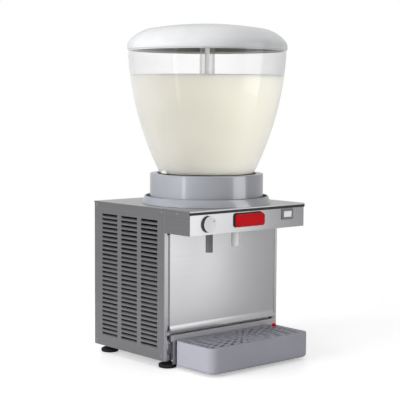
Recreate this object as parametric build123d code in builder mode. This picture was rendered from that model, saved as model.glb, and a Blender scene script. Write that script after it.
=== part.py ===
"""Counter-top cold drink dispenser: one round clear bowl over a refrigerated cabinet.

Millimetres, +Z up, X to the right, Y from the tap to the back. The origin is on the
counter under the middle of the whole outline, so the dispenser stands on z = 0.
"""
from build123d import *

import math
import os

# Overall layout
cabinet_width = 340.0
cabinet_depth = 250.0
cabinet_height = 330.0
foot_height = 17.0
fascia_reach = 83.0
fascia_height = 52.0
tray_reach = 130.0
rear_projection = 3.0
bowl_from_rear = 192.5
sheet = 1.5
cut_overrun = 2.0
seat_gap = 0.3
running_gap = 0.05

overall_depth = tray_reach + cabinet_depth + rear_projection
half_width = cabinet_width / 2
rear_y = overall_depth / 2 - rear_projection
panel_front_y = rear_y - cabinet_depth
fascia_front_y = panel_front_y - fascia_reach
tray_front_y = panel_front_y - tray_reach
bowl_y = rear_y - bowl_from_rear
base_z = foot_height
plate_z = base_z + cabinet_height
under_plate_z = plate_z - sheet
fascia_bottom_z = plate_z - fascia_height

# Side panels and their pressed louvres
panel_return = 8.0
panel_fold = 1.9
louvre_columns = 3
louvre_rows = 28
louvre_length = 58.5
louvre_gap = 12.0
louvre_pitch = 10.05
louvre_height = 7.6
louvre_open = 3.6
louvre_depth = 3.6
louvre_wall = 0.9
louvre_rear_margin = 27.5
louvre_top_margin = 27.0

# Screws through the sheet metal
screw_head_radius = 3.0
screw_head_height = 1.3
screw_shank_radius = 1.9
screw_shank_length = 8.0
screw_drop = 6.8
screw_inset = 10.0

# Top plate and its dark front trim
plate_overhang = 1.5
plate_rim = 3.0
trim_height = 5.5
trim_depth = 5.0

# Splash panel with a drip lip that curls out over the tray
splash_gap = 5.5
splash_half_width = half_width - panel_return - splash_gap
splash_proud = 3.0
splash_return = 12.0
splash_lip_radius = 15.0
splash_lip_angle = 58.0
splash_lip_start = 76.0

# Kick panel, tray bracket and tray
kick_setback = 9.0
kick_height = 74.0
ledge_top = 56.0
ledge_height = 13.0
ledge_proud = 7.0
arm_inner_x = 126.0
arm_outer_x = 151.0
tongue_width = 15.0
tongue_thick = 2.0
tongue_length = 82.0
tray_half_width = 146.5
tray_depth = 118.5
tray_bottom_z = 5.6
tray_top_z = 61.2
tray_corner_radius = 20.0
tray_rear_radius = 6.0
tray_foot_radius = 7.0
tray_wall = 2.5
tray_floor = 3.0
grid_seat = 3.0
grid_thick = 3.0
grid_gap = 0.4
groove_depth = 5.4
travel_end_gap = 3.0

# Drip grid pattern: rings of petals, each ring as radius, count, length and width
petal_x = -6.0
petal_rings = (
    (15.0, 8, 11.0, 4.6),
    (34.0, 16, 17.0, 6.0),
    (57.0, 24, 20.0, 6.6),
    (82.0, 34, 21.0, 7.0),
    (108.0, 46, 22.0, 7.2),
    (132.0, 58, 17.0, 7.0),
)
petal_border = 5.0
float_pad = 4.0

# Red float that shows a full tray
float_x = 131.0
float_from_tray_rear = 20.0
float_radius = 4.6
float_disc_radius = 7.5
float_disc_height = 6.0
float_above_grid = 6.5
float_hole_gap = 0.6

# Feet
foot_x = 148.0
foot_front_y = panel_front_y + 14.5
foot_rear_y = rear_y - 28.0
foot_radius = 20.0
foot_disc_height = 8.5
foot_neck_radius = 8.0
stud_radius = 4.0
stud_length = 14.0
boss_radius = 8.0
boss_height = 11.0
pan_flange = 18.0

# Collar and condensate gutter
collar_radius = 127.3
collar_height = 67.0
collar_wall = 3.0
collar_mouth_radius = 108.6
gutter_radius = 145.0
gutter_lip_radius = 139.0
gutter_height = 17.0
gutter_wall = 2.6

# Bowl
bowl_wall = 3.0
bowl_floor_height = 28.0
bowl_floor_radius = 105.0
bowl_neck_radius = 106.2
bowl_neck_height = 67.5
bowl_rim_radius = 177.1
bowl_belly_inset = 20.1
bowl_belly_height = 205.0
bowl_rim_height = 341.2
hub_radius = 64.0
hub_height = 50.0
lug_width = 19.0
lug_height = 6.4
lug_reach = 8.6
lug_angle = 172.0
mouth_seal_radius = 107.2
mouth_seal_reach = 111.0
mouth_seal_height = 1.6
mouth_seal_depth = 2.6

# Lid
lid_overhang = 1.4
lid_skirt = 15.0
lid_wall = 2.5
lid_shoulder_inset = 48.5
lid_shoulder_height = 46.0
lid_bend_inset = 18.0
lid_bend_height = 32.5
lid_top_height = 57.0
lid_lip_depth = 2.4
lid_lip_gap = 1.2
liner_thick = 2.0
liner_gap = 4.0

# Evaporator, mixer drive and riser
evaporator_radius = 62.0
evaporator_height = 164.0
evaporator_bend = 14.0
evaporator_flange_radius = 78.0
hub_seal_thick = 1.5
hub_seal_base = 30.0
hub_seal_height = 14.0
coil_radius = 59.6
coil_thick = 6.0
coil_base = 12.0
coil_height = 108.0
mixer_motor_radius = 29.0
mixer_motor_base = 58.0
mixer_motor_height = 70.0
mixer_shaft_radius = 4.0
magnet_radius = 27.0
magnet_height = 10.0
magnet_base = 140.0
pump_radius = 42.0
pump_height = 27.0
pump_wall = 2.4
pump_window_width = 12.0
pump_window_height = 12.0
pump_windows = 6
impeller_radius = 30.0
impeller_disc = 5.0
vane_height = 11.0
vane_thick = 2.4
vane_count = 6
rod_radius = 5.6
riser_radius = 17.0
riser_wall = 2.0
riser_top = 350.0
riser_bush_height = 5.0
riser_ports = 6
riser_port_radius = 3.2

# Tap: pinch valve worked by the red push plate
tap_x = 1.0
tap_y = bowl_y - 94.0
tap_drop = 26.0
push_offset = -6.0
push_width = 85.0
push_height = 30.0
push_cover = 5.0
push_reach = 13.0
push_inside = 8.0
push_inset = 0.8
push_corner = 7.0
window_gap = 0.6
rod_spacing = 44.0
tap_rod_radius = 3.0
tap_travel = 9.5
tube_radius = 6.5
tube_bore = 4.5
flat_half_thick = 1.8
flat_half_width = 9.0
flat_height = 11.0
tube_taper = 9.0
socket_radius = 9.0
socket_bore = 7.1
socket_top = 22.0
socket_depth = 15.0
nipple_radius = 6.6
nipple_bore = 4.6
nipple_tip = 9.0
bar_thick = 5.0
bar_height = 5.0
bar_overhang = 6.0
frame_thick = 2.5
frame_height = 38.0
frame_front_gap = 16.0
anvil_height = 14.0
anvil_half_width = 13.0
guide_gap = 1.0
spring_outer = 5.4
spring_wall = 1.6
spout_radius = 8.2
spout_bore = 5.0
spout_below = 38.0
spout_flange_radius = 12.5
spout_flange_height = 2.5
barb_height = 7.0
barb_radius = 4.35
drain_x = -71.0
drain_y = bowl_y - 90.0
drain_radius = 7.8
drain_bore = 5.6
drain_below = 46.0
drain_flange_radius = 9.2
drain_flange_height = 2.0

# Thermostat knob
knob_x = -123.8
knob_drop = 28.6
knob_radius = 18.2
knob_depth = 12.5
knob_face_radius = 15.6
knob_taper = 1.4
knob_air = 0.8
pointer_width = 1.8
pointer_depth = 0.7
spindle_radius = 3.0
thermostat_width = 38.0
thermostat_height = 32.0
thermostat_depth = 24.0

# Mains switch
switch_x = 117.0
switch_drop = 22.0
bezel_width = 36.0
bezel_height = 24.5
bezel_proud = 2.2
bezel_corner = 2.0
switch_case_width = 31.0
switch_case_height = 20.0
switch_case_depth = 22.0
rocker_width = 25.0
rocker_height = 14.5
rocker_gap = 0.5
rocker_end_gap = 1.2
rocker_depth = 8.0
rocker_tilt = 7.0

# Refrigeration on the base pan
compressor_x = 82.0
compressor_y = rear_y - 92.0
compressor_radius = 66.0
compressor_height = 150.0
compressor_lift = 16.0
compressor_crown = 34.0
seam_proud = 4.0
seam_height = 5.0
leg_width = 26.0
leg_reach = 70.0
leg_thick = 3.0
grommet_radius = 11.0
grommet_bore = 4.0
condenser_x = -160.0
condenser_thick = 34.0
condenser_front_gap = 26.0
condenser_rear_gap = 38.0
condenser_base = 22.0
condenser_top_gap = 120.0
fin_count = 26
fin_thick = 1.2
end_plate = 2.0
tube_rows = 5
header_radius = 4.0
shroud_depth = 26.0
fan_edge = 11.0
fan_clearance = 3.0
fan_hub_radius = 20.0
fan_hub_length = 16.0
fan_blades = 5
blade_pitch = 28.0
blade_thick = 1.6
blade_width = 44.0
fan_motor_radius = 26.0
fan_motor_length = 34.0
fan_shaft_radius = 3.0
fan_arm_width = 10.0
fan_arm_thick = 3.0
pipe_radius = 3.0
pipe_bend = 18.0

# Rear panel
vent_rows = 8
vent_columns = 2
vent_length = 90.0
vent_width = 3.2
vent_pitch_x = 110.0
vent_pitch_z = 12.0
vent_centre_z = 250.0
gland_x = 120.0
gland_height = 44.0
gland_bore = 4.2
gland_body = 8.0
gland_flange = 12.0
gland_inside = 8.0

condenser_front_y = panel_front_y + condenser_front_gap
condenser_depth = cabinet_depth - condenser_front_gap - condenser_rear_gap
condenser_height = cabinet_height - condenser_base - condenser_top_gap
fan_radius = min(condenser_depth, condenser_height) / 2 - fan_edge
bowl_plane = Plane.XZ.offset(-bowl_y)
bowl_axis = Axis((0, bowl_y, 0), (0, 0, 1))
tap_z = plate_z - tap_drop
push_x = tap_x + push_offset
splash_front_y = panel_front_y - splash_proud
kick_y = panel_front_y + kick_setback
ledge_front_y = panel_front_y - ledge_proud
ledge_z = base_z + ledge_top
tray_rear_y = tray_front_y + tray_depth
trim_bottom_z = plate_z - plate_rim - trim_height
collar_top_z = plate_z + collar_height
bowl_belly_radius = bowl_rim_radius - bowl_belly_inset
bowl_rim_z = plate_z + bowl_rim_height
lid_radius = bowl_rim_radius + lid_overhang
lid_shoulder_radius = lid_radius - lid_shoulder_inset
lid_bend_radius = lid_radius - lid_bend_inset
lid_z = bowl_rim_z + seat_gap
lid_rise = lid_top_height - lid_shoulder_height
lid_crown_radius = (lid_shoulder_radius ** 2 + lid_rise ** 2) / (2 * lid_rise)
collar_floor_z = plate_z + collar_wall
flat_y = tap_y - tube_radius + seat_gap + flat_half_thick
bar_front_y = flat_y + flat_half_thick + seat_gap
push_front_y = fascia_front_y - push_reach
block_rear_y = fascia_front_y + push_inside
frame_front_y = block_rear_y + frame_front_gap
spout_bottom_z = fascia_bottom_z - spout_below
float_y = tray_rear_y - float_from_tray_rear
grid_top_z = tray_top_z
grid_z = grid_top_z - grid_thick
knob_z = plate_z - knob_drop
switch_z = plate_z - switch_drop
side_screws = (
    (rear_y - screw_inset + sheet, plate_z - screw_drop),
    (panel_front_y + screw_inset, plate_z - screw_drop),
    (rear_y - screw_inset + sheet, base_z + screw_inset),
    (panel_front_y + screw_inset, base_z + screw_inset),
)
cheek_screw = (fascia_front_y + fascia_reach / 2, plate_z - screw_drop)
rear_screws = tuple(
    (x_side * (half_width - screw_inset), z)
    for x_side in (-1, 1)
    for z in (base_z + screw_inset, base_z + cabinet_height / 2, plate_z - screw_inset)
)


def save(builder, label):
    """Name a finished piece and write it as its own file."""
    builder.part.label = label
    export_step(builder.part, f"parts/{label}.step")


def block(low, high, mode=Mode.ADD):
    """A box between two corners."""
    size = [abs(high[i] - low[i]) for i in range(3)]
    middle = [(high[i] + low[i]) / 2 for i in range(3)]
    with Locations(tuple(middle)):
        Box(size[0], size[1], size[2], mode=mode)


def post(x, y, low_z, high_z, radius, mode=Mode.ADD):
    """An upright cylinder between two heights."""
    with Locations((x, y, (low_z + high_z) / 2)):
        Cylinder(radius, high_z - low_z, mode=mode)


def rod_y(x, z, low_y, high_y, radius, mode=Mode.ADD):
    """A cylinder that lies along Y."""
    with Locations(Location((x, (low_y + high_y) / 2, z), (90, 0, 0))):
        Cylinder(radius, high_y - low_y, mode=mode)


def rod_x(y, z, low_x, high_x, radius, mode=Mode.ADD):
    """A cylinder that lies along X."""
    with Locations(Location(((low_x + high_x) / 2, y, z), (0, 90, 0))):
        Cylinder(radius, abs(high_x - low_x), mode=mode)


def turned(points):
    """A closed straight-sided section, given as radius and height, turned about the bowl."""
    with BuildSketch(bowl_plane) as section:
        with BuildLine():
            Polyline(*points, close=True)
        make_face()
    revolve(section.sketch, axis=bowl_axis)


def make_side_panels():
    """Folded side panels, each with three columns of open louvres pressed inward."""
    inner_x = -half_width + sheet
    top_row_z = plate_z - louvre_top_margin
    rows = [(0, top_row_z - louvre_pitch * k) for k in range(louvre_rows)]
    column_pitch = louvre_length + louvre_gap
    tip_x = inner_x + louvre_depth - louvre_wall
    with BuildPart() as left:
        block((-half_width, panel_front_y, base_z), (inner_x, rear_y - sheet, under_plate_z))
        block((-half_width, panel_front_y, base_z),
              (-half_width + panel_return, panel_front_y + sheet, under_plate_z))
        fold = left.edges().filter_by(Axis.Z).group_by(Axis.Y)[0].sort_by(Axis.X)[0]
        fillet(fold, panel_fold)
        for column in range(louvre_columns):
            start_y = rear_y - louvre_rear_margin - column * column_pitch
            with BuildSketch(Plane.XZ.offset(-start_y)):
                with Locations(*rows):
                    Polygon((inner_x, -louvre_height), (inner_x + louvre_depth, -louvre_open),
                            (inner_x, -louvre_open), align=None)
            extrude(amount=louvre_length)
            with BuildSketch(Plane.XZ.offset(-start_y + louvre_wall)):
                with Locations(*rows):
                    Polygon((-half_width, -louvre_height), (tip_x, -louvre_open),
                            (tip_x, 0), (-half_width, 0), align=None)
            extrude(amount=louvre_length - 2 * louvre_wall, mode=Mode.SUBTRACT)
        for y, z in side_screws:
            rod_x(y, z, -half_width - cut_overrun, inner_x + cut_overrun,
                  screw_shank_radius + running_gap, Mode.SUBTRACT)
    save(left, "side_panel_left")
    with BuildPart() as right:
        add(mirror(left.part, about=Plane.YZ))
    save(right, "side_panel_right")


def make_rear_panel():
    """Flat rear sheet with vent slots and the hole for the cord gland."""
    gland_z = base_z + gland_height
    with BuildPart() as panel:
        block((-half_width, rear_y - sheet, base_z), (half_width, rear_y, under_plate_z))
        with BuildSketch(Plane.XZ.offset(-rear_y - cut_overrun)):
            with Locations((0, vent_centre_z)):
                with GridLocations(vent_pitch_x, vent_pitch_z, vent_columns, vent_rows):
                    Rectangle(vent_length, vent_width)
        extrude(amount=sheet + 2 * cut_overrun, mode=Mode.SUBTRACT)
        rod_y(gland_x, gland_z, rear_y - sheet - cut_overrun, rear_y + cut_overrun,
              gland_body + running_gap, Mode.SUBTRACT)
        for x, z in rear_screws:
            rod_y(x, z, rear_y - sheet - cut_overrun, rear_y + cut_overrun,
                  screw_shank_radius + running_gap, Mode.SUBTRACT)
    save(panel, "rear_panel")
    with BuildPart() as gland:
        rod_y(gland_x, gland_z, rear_y, rear_y + rear_projection, gland_flange)
        rod_y(gland_x, gland_z, rear_y - sheet - gland_inside, rear_y, gland_body)
        rod_y(gland_x, gland_z, rear_y - sheet - gland_inside - cut_overrun,
              rear_y + rear_projection + cut_overrun, gland_bore, Mode.SUBTRACT)
    save(gland, "cord_gland")


def make_base_pan():
    """Folded base pan with a threaded boss over each foot."""
    inner_x = half_width - sheet
    with BuildPart() as pan:
        block((-inner_x, panel_front_y + sheet, base_z), (inner_x, rear_y - sheet, base_z + sheet))
        for side in (-1, 1):
            block((side * inner_x, panel_front_y + sheet, base_z),
                  (side * (inner_x - sheet), rear_y - sheet, base_z + pan_flange))
        block((-inner_x, rear_y - 2 * sheet, base_z), (inner_x, rear_y - sheet, base_z + pan_flange))
        for x in (-foot_x, foot_x):
            for y in (foot_front_y, foot_rear_y):
                post(x, y, base_z, base_z + boss_height, boss_radius)
                post(x, y, base_z - cut_overrun, base_z + boss_height + cut_overrun,
                     stud_radius + running_gap, Mode.SUBTRACT)
        for side in (-1, 1):
            for y, z in side_screws[2:]:
                rod_x(y, z, side * inner_x - cut_overrun, side * inner_x + cut_overrun,
                      screw_shank_radius + running_gap, Mode.SUBTRACT)
        for x, z in rear_screws:
            if z < base_z + pan_flange:
                rod_y(x, z, rear_y - 2 * sheet - cut_overrun, rear_y, screw_shank_radius + running_gap,
                      Mode.SUBTRACT)
    save(pan, "base_pan")


def make_feet():
    """Four rubber levelling feet, each on a threaded stud."""
    places = {
        "foot_front_left": (-foot_x, foot_front_y),
        "foot_front_right": (foot_x, foot_front_y),
        "foot_rear_left": (-foot_x, foot_rear_y),
        "foot_rear_right": (foot_x, foot_rear_y),
    }
    neck_z = (foot_disc_height + foot_height) / 2
    for label, (x, y) in places.items():
        with BuildPart() as foot:
            with BuildSketch(Plane.XZ.offset(-y)):
                with BuildLine():
                    Polyline(
                        (x, 0),
                        (x + foot_radius, 0),
                        (x + foot_radius, foot_disc_height),
                        (x + foot_neck_radius, neck_z),
                        (x + foot_neck_radius, foot_height - seat_gap),
                        (x + stud_radius, foot_height - seat_gap),
                        (x + stud_radius, foot_height + stud_length),
                        (x, foot_height + stud_length),
                        close=True,
                    )
                make_face()
            revolve(axis=Axis((x, y, 0), (0, 0, 1)))
        save(foot, label)


def make_top_plate():
    """Top plate with turned-down edges, and the dark trim under its front edge."""
    outer_x = half_width + plate_overhang
    front_y = fascia_front_y - plate_overhang
    with BuildPart() as plate:
        block((-outer_x, front_y, under_plate_z), (outer_x, rear_y, plate_z))
        for side in (-1, 1):
            block((side * outer_x, front_y, plate_z - plate_rim), (side * half_width, rear_y, plate_z))
        block((-outer_x, front_y, plate_z - plate_rim), (outer_x, fascia_front_y, plate_z))
        over = plate_z + cut_overrun
        under = under_plate_z - cut_overrun
        post(0, bowl_y, under, over, evaporator_radius + seat_gap, Mode.SUBTRACT)
        post(tap_x, tap_y, under, over, tube_radius + seat_gap, Mode.SUBTRACT)
        post(drain_x, drain_y, under, over, drain_radius + seat_gap, Mode.SUBTRACT)
    save(plate, "top_plate")
    with BuildPart() as trim:
        block((-outer_x, front_y, trim_bottom_z), (outer_x, fascia_front_y, plate_z - plate_rim))
        block((-half_width + sheet, fascia_front_y, trim_bottom_z),
              (half_width - sheet, fascia_front_y + trim_depth, under_plate_z))
    save(trim, "top_edge_trim")


def make_splash_panel():
    """Stainless splash panel, its lower edge curled forward over the tray."""
    lip_z = base_z + splash_lip_start
    with BuildPart() as panel:
        with BuildSketch(Plane.YZ):
            with BuildLine():
                face = Line((splash_front_y, under_plate_z), (splash_front_y, lip_z))
                JernArc(face @ 1, face % 1, splash_lip_radius, -splash_lip_angle)
                offset(amount=sheet, side=Side.LEFT)
            make_face()
        extrude(amount=splash_half_width, both=True)
        for side in (-1, 1):
            block((side * splash_half_width, splash_front_y, lip_z),
                  (side * (splash_half_width - sheet), splash_front_y + splash_return, under_plate_z))
    save(panel, "splash_panel")


def make_kick_panel():
    """Recessed lower front panel behind the tray."""
    with BuildPart() as panel:
        block((-splash_half_width, kick_y, base_z + sheet),
              (splash_half_width, kick_y + sheet, base_z + kick_height))
        for side in (-1, 1):
            post(side * foot_x, foot_front_y, base_z, base_z + boss_height + seat_gap,
                 boss_radius + seat_gap, Mode.SUBTRACT)
            for z in (base_z + kick_height / 2, base_z + kick_height - screw_inset):
                rod_y(side * (splash_half_width - screw_inset), z, kick_y - cut_overrun,
                      kick_y + sheet + cut_overrun, screw_shank_radius + running_gap, Mode.SUBTRACT)
    save(panel, "kick_panel")


def make_tray_bracket():
    """Folded ledge with two tongues that carry the tray."""
    tongue_top = tray_bottom_z + groove_depth - seat_gap
    tongue_bottom = tongue_top - tongue_thick
    with BuildPart() as bracket:
        block((-splash_half_width, ledge_front_y, ledge_z - sheet), (splash_half_width, kick_y, ledge_z))
        block((-splash_half_width, ledge_front_y, ledge_z - ledge_height),
              (splash_half_width, ledge_front_y + sheet, ledge_z))
        for side in (-1, 1):
            block((side * arm_outer_x, ledge_front_y, tongue_bottom),
                  (side * arm_inner_x, ledge_front_y + sheet, ledge_z))
            block((side * (arm_inner_x + tongue_width), ledge_front_y + sheet, tongue_bottom),
                  (side * arm_inner_x, tray_rear_y - tongue_length, tongue_top))
    save(bracket, "tray_bracket")


def tray_outline(inset):
    """The tray's plan outline drawn in by an inset, with large front corners."""
    front = tray_front_y + inset
    rear = tray_rear_y - inset
    side = tray_half_width - inset
    front_r = tray_corner_radius - inset
    rear_r = max(tray_rear_radius - inset, tray_rear_radius / 2)
    with BuildSketch(Plane.XY) as outline:
        with Locations((0, (front + rear) / 2)):
            Rectangle(2 * side, rear - front)
        corners = outline.vertices().group_by(Axis.Y)
        fillet(corners[0], front_r)
        fillet(outline.vertices().group_by(Axis.Y)[-1], rear_r)
    return outline.sketch


def make_drip_tray():
    """Moulded drip tray with a seat for the grid and two grooves for the tongues."""
    outer = tray_outline(0)
    recess = tray_outline(tray_wall)
    well = tray_outline(tray_wall + grid_seat)
    groove_low = arm_inner_x - grid_gap
    groove_high = arm_inner_x + tongue_width + grid_gap
    groove_end = tray_rear_y - tongue_length - travel_end_gap
    with BuildPart() as tray:
        with BuildSketch(Plane.XY.offset(tray_bottom_z)):
            add(outer)
        extrude(amount=tray_top_z - tray_bottom_z)
        fillet(tray.faces().sort_by(Axis.Z)[0].edges(), tray_foot_radius)
        with BuildSketch(Plane.XY.offset(grid_z)):
            add(recess)
        extrude(amount=grid_thick + cut_overrun, mode=Mode.SUBTRACT)
        with BuildSketch(Plane.XY.offset(tray_bottom_z + tray_floor)):
            add(well)
        extrude(amount=tray_top_z - tray_bottom_z, mode=Mode.SUBTRACT)
        for side in (-1, 1):
            block((side * (groove_low - tray_wall), groove_end - tray_wall, tray_bottom_z + tray_floor / 2),
                  (side * (tray_half_width - tray_wall), tray_rear_y - tray_wall,
                   tray_bottom_z + groove_depth + tray_wall))
            block((side * groove_low, groove_end, tray_bottom_z - cut_overrun),
                  (side * groove_high, tray_rear_y + cut_overrun, tray_bottom_z + groove_depth),
                  Mode.SUBTRACT)
    save(tray, "drip_tray")


def leaf(width, length):
    """A six-sided leaf outline that points along its own X."""
    shoulder_share = 0.25
    Polygon(
        (-length / 2, 0),
        (-length * shoulder_share, -width / 2),
        (length * shoulder_share, -width / 2),
        (length / 2, 0),
        (length * shoulder_share, width / 2),
        (-length * shoulder_share, width / 2),
        align=None,
    )


def make_drip_grid():
    """Lift-out grid: rings of petal slots spread over the whole face inside a plain border."""
    middle_y = (tray_front_y + tray_rear_y) / 2
    hole_radius = float_radius + float_hole_gap
    outline = tray_outline(tray_wall + grid_gap)
    inside = tray_outline(tray_wall + grid_gap + petal_border)
    with BuildSketch(Plane.XY) as slots:
        with Locations((petal_x, middle_y)):
            for ring_radius, count, length, width in petal_rings:
                with PolarLocations(ring_radius, count):
                    leaf(width, length)
        add(inside, mode=Mode.INTERSECT)
        with Locations((float_x, float_y)):
            Circle(hole_radius + float_pad, mode=Mode.SUBTRACT)
            Circle(hole_radius)
    with BuildPart() as grid:
        with BuildSketch(Plane.XY.offset(grid_z)):
            add(outline)
            add(slots.sketch, mode=Mode.SUBTRACT)
        extrude(amount=grid_thick)
    save(grid, "drip_grid")


def make_tray_float():
    """Red float: a wide foot on the tray floor and a stem through the grid."""
    foot_z = tray_bottom_z + groove_depth + tray_wall + seat_gap
    with BuildPart() as tray_float:
        post(float_x, float_y, foot_z, foot_z + float_disc_height, float_disc_radius)
        post(float_x, float_y, foot_z, grid_top_z + float_above_grid, float_radius)
        fillet(tray_float.faces().sort_by(Axis.Z)[-1].edges(), float_radius / 2)
    save(tray_float, "tray_float")


def make_fascia():
    """Grey fascia housing under the front of the top plate, and its stainless face."""
    inner_x = half_width - sheet
    with BuildPart() as housing:
        for side in (-1, 1):
            block((side * half_width, fascia_front_y + sheet, fascia_bottom_z),
                  (side * inner_x, panel_front_y, under_plate_z))
            rod_x(cheek_screw[0], cheek_screw[1], side * half_width - cut_overrun,
                  side * half_width + cut_overrun, screw_shank_radius + running_gap, Mode.SUBTRACT)
        block((-inner_x, fascia_front_y + sheet, fascia_bottom_z),
              (inner_x, splash_front_y, fascia_bottom_z + sheet))
        low = fascia_bottom_z - cut_overrun
        high = fascia_bottom_z + sheet + cut_overrun
        post(tap_x, tap_y, low, high, spout_radius + running_gap, Mode.SUBTRACT)
        post(drain_x, drain_y, low, high, drain_radius + running_gap, Mode.SUBTRACT)
    save(housing, "fascia_housing")
    face_middle_z = (fascia_bottom_z + trim_bottom_z) / 2
    with BuildPart() as face:
        with BuildSketch(Plane.XZ.offset(-fascia_front_y - sheet)):
            with Locations((0, face_middle_z)):
                Rectangle(cabinet_width, trim_bottom_z - fascia_bottom_z)
            with Locations((push_x, tap_z)):
                RectangleRounded(push_width + 2 * window_gap, push_height + 2 * window_gap,
                                 push_corner, mode=Mode.SUBTRACT)
            with Locations((knob_x, knob_z)):
                Circle(spindle_radius + knob_air, mode=Mode.SUBTRACT)
            with Locations((switch_x, switch_z)):
                Rectangle(switch_case_width + 2 * running_gap, switch_case_height + 2 * running_gap,
                          mode=Mode.SUBTRACT)
        extrude(amount=sheet)
    save(face, "fascia_front")


def make_screws():
    """Pan-head screws in three groups: cabinet sides, back and kick panel."""
    with BuildPart() as sides:
        for side in (-1, 1):
            face_x = side * half_width
            for y, z in side_screws + (cheek_screw,):
                rod_x(y, z, face_x, face_x + side * screw_head_height, screw_head_radius)
                rod_x(y, z, face_x - side * screw_shank_length, face_x, screw_shank_radius)
    save(sides, "side_screws")
    with BuildPart() as back:
        for x, z in rear_screws:
            rod_y(x, z, rear_y, rear_y + screw_head_height, screw_head_radius)
            rod_y(x, z, rear_y - screw_shank_length, rear_y, screw_shank_radius)
    save(back, "rear_screws")
    with BuildPart() as kick:
        for side in (-1, 1):
            for z in (base_z + kick_height / 2, base_z + kick_height - screw_inset):
                x = side * (splash_half_width - screw_inset)
                rod_y(x, z, kick_y - screw_head_height, kick_y, screw_head_radius)
                rod_y(x, z, kick_y, kick_y + screw_shank_length, screw_shank_radius)
    save(kick, "kick_screws")


def make_collar():
    """Condensate gutter on the top plate, and the collar on it that holds the bowl's neck."""
    with BuildPart() as gutter:
        turned((
            (evaporator_flange_radius + seat_gap, plate_z),
            (gutter_radius, plate_z),
            (gutter_lip_radius, plate_z + gutter_height),
            (gutter_lip_radius - gutter_wall, plate_z + gutter_height),
            (gutter_radius - 2 * gutter_wall, collar_floor_z),
            (evaporator_flange_radius + seat_gap, collar_floor_z),
        ))
        low = plate_z - cut_overrun
        high = collar_floor_z + cut_overrun
        post(tap_x, tap_y, low, high, tube_radius + seat_gap, Mode.SUBTRACT)
        post(drain_x, drain_y, low, high, drain_radius + running_gap, Mode.SUBTRACT)
    save(gutter, "collar_gutter")
    with BuildPart() as collar:
        turned((
            (collar_radius - collar_wall, collar_floor_z),
            (collar_radius, collar_floor_z),
            (collar_radius, collar_top_z),
            (collar_mouth_radius, collar_top_z),
            (collar_mouth_radius, collar_top_z - collar_wall),
            (collar_radius - collar_wall, collar_top_z - collar_wall),
        ))
        rim = collar.edges().filter_by(GeomType.CIRCLE).group_by(Axis.Z)[-1].sort_by(SortBy.RADIUS)[-1]
        fillet(rim, collar_wall / 2)
    save(collar, "collar")
    with BuildPart() as seal:
        turned((
            (mouth_seal_radius, collar_top_z - mouth_seal_depth),
            (collar_mouth_radius - running_gap, collar_top_z - mouth_seal_depth),
            (collar_mouth_radius - running_gap, collar_top_z),
            (mouth_seal_reach, collar_top_z),
            (mouth_seal_reach, collar_top_z + mouth_seal_height / 2),
            (mouth_seal_radius + mouth_seal_height / 2, collar_top_z + mouth_seal_height),
            (mouth_seal_radius, collar_top_z + mouth_seal_height),
        ))
    save(seal, "bowl_seal")


def make_bowl():
    """Clear bowl: a curved wall, a raised hub, an outlet nipple and two locking lugs."""
    floor_z = plate_z + bowl_floor_height
    neck_z = plate_z + bowl_neck_height
    belly_z = plate_z + bowl_belly_height
    hub_z = plate_z + hub_height
    with BuildPart() as bowl:
        with BuildSketch(bowl_plane):
            with BuildLine():
                Polyline((hub_radius, floor_z), (bowl_floor_radius, floor_z), (bowl_neck_radius, neck_z))
                ThreePointArc((bowl_neck_radius, neck_z), (bowl_belly_radius, belly_z),
                              (bowl_rim_radius, bowl_rim_z))
                Line((bowl_rim_radius, bowl_rim_z), (bowl_rim_radius - bowl_wall, bowl_rim_z))
                ThreePointArc((bowl_rim_radius - bowl_wall, bowl_rim_z),
                              (bowl_belly_radius - bowl_wall, belly_z),
                              (bowl_neck_radius - bowl_wall, neck_z))
                Polyline(
                    (bowl_neck_radius - bowl_wall, neck_z),
                    (bowl_floor_radius - bowl_wall, floor_z + bowl_wall),
                    (hub_radius + bowl_wall, floor_z + bowl_wall),
                    (hub_radius + bowl_wall, hub_z),
                    (hub_radius, hub_z),
                    (hub_radius, floor_z),
                )
            make_face()
        revolve(axis=bowl_axis)
        post(tap_x, tap_y, plate_z + nipple_tip, floor_z + bowl_wall / 2, nipple_radius)
        post(tap_x, tap_y, plate_z + nipple_tip - cut_overrun, floor_z + bowl_wall + cut_overrun,
             nipple_bore, Mode.SUBTRACT)
        lug_z = collar_top_z + mouth_seal_height + seat_gap
        lug_inner = bowl_neck_radius - bowl_wall / 4
        for turn in (lug_angle, lug_angle + 180):
            with BuildSketch(Plane.XY.offset(lug_z)):
                with Locations((0, bowl_y)):
                    with PolarLocations(lug_inner + lug_reach / 2, 1, start_angle=turn):
                        RectangleRounded(lug_reach, lug_width, lug_reach / 3)
            extrude(amount=lug_height)
    save(bowl, "bowl")


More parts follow.
